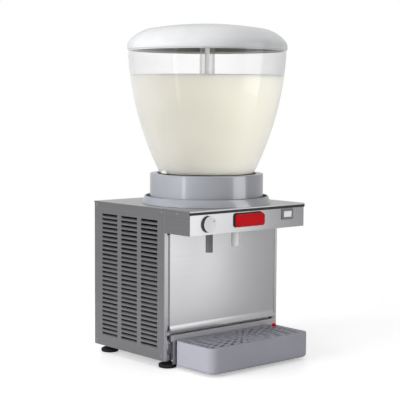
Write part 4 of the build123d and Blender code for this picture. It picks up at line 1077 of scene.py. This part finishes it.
@dataclass
class Fixings:
    """The cross-recessed screws, and the folds beside the splash panel. Sizes in millimetres.

    Attributes:
        head: The radius of a head.
        shank: The radius of a shank.
        crown: The height of a head.
        fall: How far a head falls to its edge.
        arm: Half the width of a recess's arm.
        arm_end: How far an arm reaches.
        recess: How deep the recess would be on the axis.
        recess_end: The radius at which that slope meets the head.
        recess_floor: The height of the recess's flat middle.
        shank_end: The depth at which the shank starts to narrow.
        tip: The radius and depth of the point.
        steps: The steps round a screw.
        side_x: How far from the middle the side sheets stand.
        rear_y: Where the rear sheet stands.
        kick_y: Where the kick panel stands.
        strip: The middle of the right fold's front.
    """

    head: float = 3.0
    shank: float = 1.9
    crown: float = 1.3
    fall: float = 0.62
    arm: float = 0.36
    arm_end: float = 1.7
    recess: float = 0.85
    recess_end: float = 2.6
    recess_floor: float = 0.35
    shank_end: float = 7.2
    tip: Pair = (0.8, 8.0)
    steps: int = 48
    side_x: float = 170.0
    rear_y: float = 188.5
    kick_y: float = -52.5
    strip: Point = (159.4, -60.6, 166.0)

    def screw(self, form: Form, origin: Point, out: Point) -> None:
        """Add one screw.

        Args:
            form: The form that gets it.
            origin: Where its head sits on the sheet.
            out: The direction that its head faces.
        """
        place = facing(origin, out)
        rings = [[spot(place, 0.0, 0.0, self.recess_floor)]]
        for radius in (0.22, 0.34, 0.5, 0.8, 1.1, 1.4, 1.62, 1.8, 2.2, 2.6, 2.85, self.head):
            ring = []
            for turn in turns(self.steps):
                x, y = radius * math.cos(turn), radius * math.sin(turn)
                in_arm = min(abs(x), abs(y)) < self.arm and max(abs(x), abs(y)) < self.arm_end
                level = self.crown - self.fall * (radius / self.head) ** 3
                if in_arm:
                    level -= self.recess * (1.0 - radius / self.recess_end)
                ring.append(spot(place, x, y, level))
            rings.append(ring)
        point, depth = self.tip
        below = ((self.head, 0.0), (self.shank, 0.0), (self.shank, -self.shank_end),
                 (point, -depth))
        rings += [circle(place, radius, level, self.steps) for radius, level in below]
        form.skin([*rings, [spot(place, 0.0, 0.0, -depth)]])

    def build(self) -> None:
        """Set the screws of the sides, the rear and the kick panel, and fold the strips."""
        groups = {
            ("cabinet_screws", "side_screws"): [
                ((side * self.side_x, y, z), (side, 0.0, 0.0)) for side in (-1, 1)
                for y, z in ((180.0, 340.2), (-51.5, 340.2), (180.0, 27.0), (-51.5, 27.0),
                             (-103.0, 340.2))],
            ("back_screws", "rear_screws"): [
                ((x, self.rear_y, z), TO_REAR) for x in (-160.0, 160.0)
                for z in (27.0, 182.0, 337.0)],
            ("lower_screws", "kick_screws"): [
                ((x, self.kick_y, z), TO_FRONT) for x in (-146.5, 146.5) for z in (54.0, 81.0)],
        }
        for (name, node), places in groups.items():
            form = Form()
            for origin, out in places:
                self.screw(form, origin, out)
            form.piece(name, SCREW_STEEL, Body.CABINET, "screw_steel", node)
        layers = ((7.6, 247.0, 0.6, -1.2), (7.8, 247.2, 0.7, -1.0), (7.8, 247.2, 0.7, -0.2),
                  (7.6, 247.0, 0.6, 0.0))
        x, y, z = self.strip
        form = Form()
        for side in (-1, 1):
            form.pad(layers, facing((side * x, y, z), TO_FRONT))
        form.piece("corner_strips", FRONT_STEEL, Body.CABINET, "front_steel")


@dataclass
class Feet:
    """The ribbed levelling feet on their threaded studs. Sizes in millimetres.

    Attributes:
        ribs: The number of ribs round each foot.
        stud: The thread's outer radius.
        groove: The thread's depth.
        pitch: The thread's pitch.
        thread_z: Where the thread starts.
        apart: How far from the middle the feet stand.
        front_y: Where the front feet stand.
        rear_y: Where the rear feet stand.
    """

    ribs: int = 32
    stud: float = 3.9
    groove: float = 0.45
    pitch: float = 1.0
    thread_z: float = 16.7
    apart: float = 148.0
    front_y: float = -47.0
    rear_y: float = 160.5

    def build(self) -> None:
        """Turn each foot and its stud."""
        rubber = [(0.0, 0.0), (17.2, 0.0), (18.8, 0.5), (19.7, 1.8), (19.9, 3.2), (19.9, 6.4),
                  (19.2, 7.8), (17.6, 8.5), (12.5, 9.4), (9.2, 11.0), (8.1, 12.8), (8.0, 16.6),
                  (4.1, 16.6)]
        thread = [(self.stud - self.groove * (k % 2), self.thread_z + self.pitch / 2 * k)
                  for k in range(28)]
        profile = [*rubber, *thread, (3.2, 31.0), (0.0, 31.0)]
        for body, x, y in ((Body.FOOT_FRONT_LEFT, -self.apart, self.front_y),
                           (Body.FOOT_FRONT_RIGHT, self.apart, self.front_y),
                           (Body.FOOT_REAR_LEFT, -self.apart, self.rear_y),
                           (Body.FOOT_REAR_RIGHT, self.apart, self.rear_y)):
            form = Form().lathe(profile, shift(x, y), 128, self.ribs, range(3, 7))
            form.piece(f"{body.value}_pad", FOOT_RUBBER, body, "foot_rubber", body.value)


@dataclass
class Coil:
    """The evaporator coil, wound inside the dome. Sizes in millimetres.

    Attributes:
        radius: The radius of its middle line.
        ends: The heights of its first and last turn over the plate.
        rounds: The number of its turns.
        pipe: The radius of its pipe.
    """

    radius: float = 56.5
    ends: Pair = (15.2, 116.8)
    rounds: float = 16.5
    pipe: float = 2.9

    def build(self) -> None:
        """Wind the coil."""
        line = helix(self.radius, *self.ends, self.rounds, ON_PLATE, 48)
        form = Form().tube(line, self.pipe, 14)
        form.piece("wound_coil", COPPER, Body.CABINET, "copper_pipe", "evaporator_coil")


@dataclass
class Condenser:
    """The condenser's tubes, which show outside its fins. Sizes in millimetres.

    Attributes:
        layers_x: Where the two layers of tubes stand.
        ends_y: Where the tubes turn back.
        fins_z: The foot of the fins, and their height.
        rows: The number of rows of tubes in each layer.
        radius: The radius of a tube.
        bend: How far a bend sticks out, against half the pitch of the rows.
    """

    layers_x: Pair = (-156.0, -130.0)
    ends_y: Pair = (-37.0, 152.0)
    fins_z: Pair = (39.0, 188.0)
    rows: int = 5
    radius: float = 3.6
    bend: float = 0.85

    def build(self) -> None:
        """Loop the tubes from row to row."""
        foot, height = self.fins_z
        levels = [foot + height * (k + 1) / (self.rows + 1) for k in range(self.rows)]
        form = Form()
        for x in self.layers_x:
            line: list[Point] = []
            for k, z in enumerate(levels):
                ends = self.ends_y if k % 2 == 0 else self.ends_y[::-1]
                line += [(x, y, z) for y in ends]
                if k + 1 < len(levels):
                    half = (levels[k + 1] - z) / 2
                    reach = half * self.bend * (1 if k % 2 == 0 else -1)
                    line += [(x, ends[1] + reach * math.sin(turn), z + half - half * math.cos(turn))
                             for turn in (math.pi * n / 12 for n in range(1, 12))]
            form.tube([spot(Matrix(), *point) for point in line], self.radius, 12)
        form.piece("condenser_tubes", FIN_METAL, Body.CABINET, "copper_pipe")


@dataclass
class Fan:
    """The condenser's fan and its wire guard. Sizes in millimetres.

    Attributes:
        centre: The middle of the fan.
        blades: The number of blades.
        root: The radius at which a blade starts.
        tip: The radius at which it ends.
        chord: A blade's width at its root, and how much wider it gets.
        pitch: The slope of a blade at its root, and how much it falls to the tip, in degrees.
        camber: How far a blade is bowed.
        flatten: How much the blades are flattened along the axis.
        guard_x: Where the guard stands.
        rings: The radii of the guard's rings.
        ring_wire: The radius of a ring's wire.
        ring_level: How far the rings stand out.
        spokes: The number of the guard's spokes.
        spoke_wire: The radius of a spoke's wire.
        spoke_level: How far the spokes stand out.
    """

    centre: Point = (-113.0, 57.5, 133.0)
    blades: int = 5
    root: float = 18.5
    tip: float = 78.5
    chord: Pair = (26.0, 16.0)
    pitch: Pair = (38.0, 20.0)
    camber: float = 2.4
    flatten: float = 0.62
    guard_x: float = -99.0
    rings: tuple[float, ...] = (24.0, 36.0, 48.0, 60.0, 72.0, 84.0)
    ring_wire: float = 0.9
    ring_level: float = 1.2
    spokes: int = 4
    spoke_wire: float = 1.2
    spoke_level: float = 2.6

    def blade(self, axis: Matrix, turn: float) -> list[list[Point]]:
        """Give the sections of one twisted blade.

        Args:
            axis: The fan's frame.
            turn: The angle at which the blade stands.

        Returns:
            The rings of points from root to tip, with a pole at both ends.
        """
        section = ((-0.5, 0.0), (-0.25, 0.8), (0.0, 1.0), (0.25, 0.8), (0.5, 0.0), (0.25, -0.8),
                   (0.0, -1.0), (-0.25, -0.8))
        steps = 10
        rings = []
        for k in range(steps + 1):
            radius = self.root + (self.tip - self.root) * k / steps
            pitch = math.radians(self.pitch[0] - self.pitch[1] * k / steps)
            fullness = math.sin(0.75 * math.pi * min(k / (steps - 1), 1.0))
            chord = self.chord[0] + self.chord[1] * fullness
            ring = []
            for along, thick in section:
                span, rise = chord * along, self.camber * (1 - 4 * along * along) + thick
                angle = turn + (span * math.cos(pitch) - rise * math.sin(pitch)) / radius
                level = span * math.sin(pitch) + rise * math.cos(pitch)
                ring.append(spot(axis, radius * math.cos(angle), radius * math.sin(angle),
                                 level * self.flatten))
            rings.append(ring)
        poles = [[tuple(sum(values) / len(ring) for values in zip(*ring))]
                 for ring in (rings[0], rings[-1])]
        return [poles[0], *rings, poles[1]]

    def build_wheel(self) -> None:
        """Shape the hub and the blades."""
        axis = facing(self.centre, TO_RIGHT)
        hub = [(0.0, -8.0), (12.0, -8.0), (17.0, -7.0), (20.0, -4.0), (20.0, 8.0), (3.0, 8.0),
               (3.0, 32.5), (0.0, 32.5)]
        form = Form().lathe(hub, axis, 64)
        for turn in turns(self.blades):
            form.skin(self.blade(axis, turn))
        form.piece("fan_wheel", FAN_BLACK, Body.FAN, "fan_plastic", "condenser_fan")

    def build_guard(self) -> None:
        """Weld the rings and the spokes of the guard."""
        axis = facing((self.guard_x, *self.centre[1:]), TO_RIGHT)
        form = Form()
        for radius in self.rings:
            form.tube(circle(axis, radius, self.ring_level, 72), self.ring_wire, loop=True)
        for turn in (math.pi / self.spokes + turn for turn in turns(self.spokes)):
            form.tube([spot(axis, radius * math.cos(turn), radius * math.sin(turn), self.spoke_level)
                       for radius in (22.0, 40.0, 60.0, 88.0)], self.spoke_wire)
        form.piece("fan_guard", SHROUD_STEEL, Body.CABINET, "screw_steel")

    def build(self) -> None:
        """Build the wheel and the guard."""
        self.build_wheel()
        self.build_guard()


@dataclass
class Filter:
    """A pleated dust filter behind a field of slots, whose near-black felt paints the shade seen
    through them.

    Attributes:
        name: The piece's name.
        centre: The middle of the filter.
        turn: Its turn about the upright axis, in degrees.
        width: Its size across the pleats' ends.
        height: Its size across the pleats.
        pleat: The width of a pleat.
        fold: The depth of a pleat.
        felt: The thickness of the felt.
        weld: How close two points have to be to become one, in metres.
    """

    name: str
    centre: Point
    turn: float
    width: float
    height: float
    pleat: float = 3.0
    fold: float = 3.0
    felt: float = 0.6
    weld: ClassVar[float] = 1e-6

    def build(self) -> None:
        """Fold the felt and close the pleats' ends."""
        place = shift(*self.centre) @ spin(self.turn) @ spin(90.0, "X")
        count = round(self.height / self.pleat)
        front = [(self.fold if k % 2 else 0.0, self.pleat * (k - count / 2))
                 for k in range(count + 1)]
        rows = [*front, *((level - self.felt, z) for level, z in reversed(front))]
        rings = [[spot(place, x, z, level) for level, z in rows]
                 for x in (-self.width / 2, self.width / 2)]
        form = Form().skin(rings)
        mesh = form.mesh
        for ring in rings:
            ends = [mesh.verts.new(point) for point in ring]
            for k in range(count):
                mesh.faces.new((ends[k], ends[k + 1], ends[-2 - k], ends[-1 - k]))
        bmesh.ops.remove_doubles(mesh, verts=mesh.verts, dist=self.weld)
        form.piece(self.name, FILTER_FELT_SHADE, Body.CABINET, "fan_plastic")


@dataclass(frozen=True)
class Lamp:
    """One soft rectangular lamp.

    Attributes:
        name: The lamp's name.
        place: Where it stands.
        aim: The point that it faces.
        size: Its width and height.
        power: Its power in watts.
        only: The names of what it lights, or none for all.
        matt: Whether it lights matt surfaces.
        gloss: Whether glossy surfaces mirror it.
    """

    name: str
    place: Point
    aim: Point
    size: Pair
    power: float
    only: tuple[str, ...] = ()
    matt: bool = True
    gloss: bool = True

    def build(self) -> None:
        """Hang the lamp and limit what it lights."""
        data = bpy.data.lights.new(self.name, "AREA")
        data.shape = "RECTANGLE"
        data.size, data.size_y = self.size
        data.energy = self.power
        lamp = bpy.data.objects.new(self.name, data)
        lamp.location = self.place
        way = Vector(self.aim) - Vector(self.place)
        lamp.rotation_euler = way.to_track_quat("-Z", "Y").to_euler()
        lamp.visible_diffuse = self.matt
        lamp.visible_glossy = self.gloss
        bpy.context.scene.collection.objects.link(lamp)
        if self.only:
            lit = bpy.data.collections.new(f"{self.name}_lights")
            for name in self.only:
                lit.objects.link(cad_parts.get(name) or bpy.data.objects[name])
            lamp.light_linking.receiver_collection = lit


# What the lamps face, and where the long soft lamps hang, in metres
MIDDLE: Point = (0.0, -0.02, 0.35)
DRINK_MIDDLE: Point = (0.0, 0.0, 0.52)
RECESS: Point = (-0.15, -0.06, 0.08)
FRONT_BANK: Point = (0.45, -2.25, 0.6)
REAR_BANK: Point = (0.4, 2.3, 0.7)
BANK_SIZE: Pair = (3.2, 1.4)

# The pieces and solids that have lamps of their own
DRINK_PARTS = ("drink", "impeller")
PALE_PARTS = ("knob_cap", "switch_paddle", "spout")
RECESS_PARTS = ("kick_panel", "lower_screws")
GLOSSY_PARTS = ("bowl_shell", "bowl_lugs", "collar_ring", "gutter_ring")

LAMPS: tuple[Lamp, ...] = (
    Lamp("left", (-2.3, 0.35, 0.75), MIDDLE, (1.6, 1.6), 44.0, gloss=False),
    Lamp("top", (-0.3, 0.1, 2.2), MIDDLE, (1.6, 1.6), 11.0, gloss=False),
    Lamp("window", (1.08, -2.14, 0.5), MIDDLE, (1.3, 1.8), 5.6),
    Lamp("drink_fill", FRONT_BANK, DRINK_MIDDLE, BANK_SIZE, 84.0, DRINK_PARTS, gloss=False),
    Lamp("drink_rear", REAR_BANK, DRINK_MIDDLE, BANK_SIZE, 40.0, DRINK_PARTS, gloss=False),
    Lamp("front_fill", FRONT_BANK, DRINK_MIDDLE, BANK_SIZE, 14.0, PALE_PARTS, gloss=False),
    Lamp("recess_fill", (-1.7, -2.0, 0.5), RECESS, (0.8, 0.8), 60.0, RECESS_PARTS),
    Lamp("left_strip", (-2.4, -0.15, 0.45), (0.0, 0.0, 0.45), (0.25, 1.6), 6.0, GLOSSY_PARTS,
         matt=False),
    Lamp("window_gloss", (1.1, -2.14, 1.6), (0.0, 0.0, 1.6), (1.25, 3.4), 44.0, GLOSSY_PARTS,
         matt=False),
)


@dataclass
class Studio:
    """The camera, the world, the floor and the lamps.

    Attributes:
        eye: Where the camera stands.
        yaw: The camera's turn about the upright axis, in degrees.
        pitch: How far it looks down, in degrees.
        roll: Its small tilt, in degrees.
        lens: Its focal length for its sensor.
        sensor: The width of its sensor in millimetres.
        ambient: The world's level on matt surfaces.
        gloss: Its level in gloss.
        dim: Its level in gloss at its dim side.
        dim_from: How far towards +X a direction points where that side starts.
        dim_to: How far towards +X a direction points where that side ends.
        dim_blur: How much further it points where that side is at its dimmest.
        rear_way: The direction in which the room is dim at the rear left, as x and y.
        rear_from: How closely a direction follows it where that part starts.
        rear_full: How closely it follows it where that part is at its dimmest.
        rear_drop: How far the level drops there.
        floor_size: The floor's radius in metres.
        floor_fade: The radii between which the floor fades away.
        floor_grain: The repeats per metre of its faint cloud.
        floor_dark: Its darker tone.
        floor_light: Its lighter tone.
        floor_rough: Its roughness.
        floor_lift: How much the floor is lifted towards white for the camera.
        floor_gloss: The share of the floor's colour that glossy surfaces mirror.
    """

    eye: Point = (-1.7365, -1.9551, 0.58315)
    yaw: float = -41.355
    pitch: float = 5.045
    roll: float = 0.338
    lens: float = 104.57
    sensor: float = 36.0
    ambient: float = 0.4
    gloss: float = 0.66
    dim: float = 0.36
    dim_from: float = 0.68
    dim_to: float = 0.82
    dim_blur: float = 0.025
    rear_way: Pair = (-0.76, 0.65)
    rear_from: float = 0.3
    rear_full: float = 0.75
    rear_drop: float = 0.36
    floor_size: float = 2.4
    floor_fade: Pair = (0.35, 1.3)
    floor_grain: float = 40.0
    floor_dark: float = 0.9
    floor_light: float = 0.92
    floor_rough: float = 0.35
    floor_lift: float = 0.42
    floor_gloss: float = 0.5

    def camera(self) -> None:
        """Place the camera as the photograph was taken."""
        a, e, c = (math.radians(v) for v in (self.yaw, self.pitch, self.roll))
        back = Vector((math.sin(a) * math.cos(e), -math.cos(a) * math.cos(e), math.sin(e)))
        right = Vector((math.cos(a), math.sin(a), 0.0))
        up = back.cross(right)
        across = right * math.cos(c) + up * math.sin(c)
        above = up * math.cos(c) - right * math.sin(c)
        data = bpy.data.cameras.new("camera")
        data.sensor_width = self.sensor
        data.lens = self.lens
        data.dof.use_dof = False
        eye = bpy.data.objects.new("camera", data)
        turn = Matrix((across, above, back)).transposed().to_4x4()
        eye.matrix_world = Matrix.Translation(self.eye) @ turn
        bpy.context.scene.collection.objects.link(eye)
        bpy.context.scene.camera = eye

    def world(self) -> None:
        """Make a plain pale world: white to the camera, and dim on two sides in gloss."""
        world = bpy.data.worlds.new("studio")
        bpy.context.scene.world = world
        sheet = NodeSheet(world, "Background")
        way = sheet.add("ShaderNodeSeparateXYZ")
        sheet.link(sheet.add("ShaderNodeTexCoord").outputs["Generated"], way.inputs[0])
        x, y = way.outputs["X"], way.outputs["Y"]
        start, end, blur = self.dim_from, self.dim_to, self.dim_blur
        rise = sheet.ramp(x, SMOOTH, From_Min=start, From_Max=start + blur)
        fall = sheet.ramp(x, SMOOTH, From_Min=end + blur, From_Max=end)
        front = sheet.work("LESS_THAN", y, 0.0)
        drop = sheet.work("MULTIPLY", sheet.work("MULTIPLY", rise, fall), front)
        lean = sheet.work("MULTIPLY_ADD", y, self.rear_way[1],
                          sheet.work("MULTIPLY", x, self.rear_way[0]))
        rear = sheet.ramp(lean, SMOOTH, From_Min=self.rear_from, From_Max=self.rear_full,
                          To_Max=self.rear_drop)
        side = sheet.work("MULTIPLY_ADD", drop, self.dim - self.gloss, self.gloss)
        extra = sheet.work("SUBTRACT", sheet.work("SUBTRACT", side, rear), self.ambient)
        path = sheet.add("ShaderNodeLightPath")
        shine = sheet.work("MULTIPLY_ADD", path.outputs["Is Glossy Ray"], extra, self.ambient)
        seen = sheet.work("MAXIMUM", path.outputs["Is Camera Ray"],
                          path.outputs["Is Transmission Ray"])
        sheet.feed(Strength=sheet.work("MAXIMUM", seen, shine))
        sheet.set(Color=WHITE)

    def floor(self) -> None:
        """Lay a pale floor that fades into the white world."""
        disc = bmesh.new()
        bmesh.ops.create_circle(disc, cap_ends=True, radius=self.floor_size, segments=96)
        mesh = bpy.data.meshes.new("floor")
        disc.to_mesh(mesh)
        disc.free()
        floor = bpy.data.objects.new("floor", mesh)
        bpy.context.scene.collection.objects.link(floor)
        material = bpy.data.materials.new("pale_floor")
        sheet = NodeSheet(material, PRINCIPLED)
        length = sheet.add("ShaderNodeVectorMath")
        length.operation = "LENGTH"
        sheet.link(sheet.add("ShaderNodeTexCoord").outputs["Object"], length.inputs[0])
        near, far = self.floor_fade
        fade = sheet.ramp(length.outputs["Value"], SMOOTH, From_Min=near, From_Max=far, To_Min=1.0,
                          To_Max=0.0)
        cloud = sheet.noise((self.floor_grain,) * 3)
        path = sheet.add("ShaderNodeLightPath")
        scale = sheet.add("ShaderNodeVectorMath")
        scale.operation = "SCALE"
        sheet.link(sheet.tones(cloud, (self.floor_dark,) * 3, (self.floor_light,) * 3),
                   scale.inputs[0])
        sheet.link(sheet.ramp(path.outputs["Is Glossy Ray"], To_Min=1.0, To_Max=self.floor_gloss),
                   scale.inputs["Scale"])
        lift = sheet.work("MULTIPLY", path.outputs["Is Camera Ray"], self.floor_lift)
        sheet.feed(Alpha=fade, Base_Color=scale.outputs["Vector"], Emission_Strength=lift)
        sheet.set(Roughness=self.floor_rough, Emission_Color=WHITE)
        mesh.materials.append(material)

    def build(self) -> None:
        """Set up the whole studio."""
        self.camera()
        self.world()
        self.floor()
        for lamp in LAMPS:
            lamp.build()
        bpy.context.scene.view_settings.view_transform = "Standard"
        log.info("studio ready")


def main() -> None:
    """Build the dispenser's looks in order."""
    logging.basicConfig(level=logging.INFO, format="%(message)s")
    dress_cad_nodes()
    # Dark felt behind the side louvres and the rear vents, as painted shade inside the slots.
    side_filter = Filter("side_filter", (161.2, 65.0, 182.0), 90.0, 202.0, 240.0)
    rear_filter = Filter("rear_filter", (0.0, 183.9, 250.0), 180.0, 216.0, 108.0)
    for part in (Bowl(), Lid(), Collar(), Knob(), Switch(), Tap(), Fixings(), Feet(), Coil(),
                 Condenser(), Fan(), side_filter, rear_filter, Studio()):
        part.build()


if __name__ == "__main__":
    main()
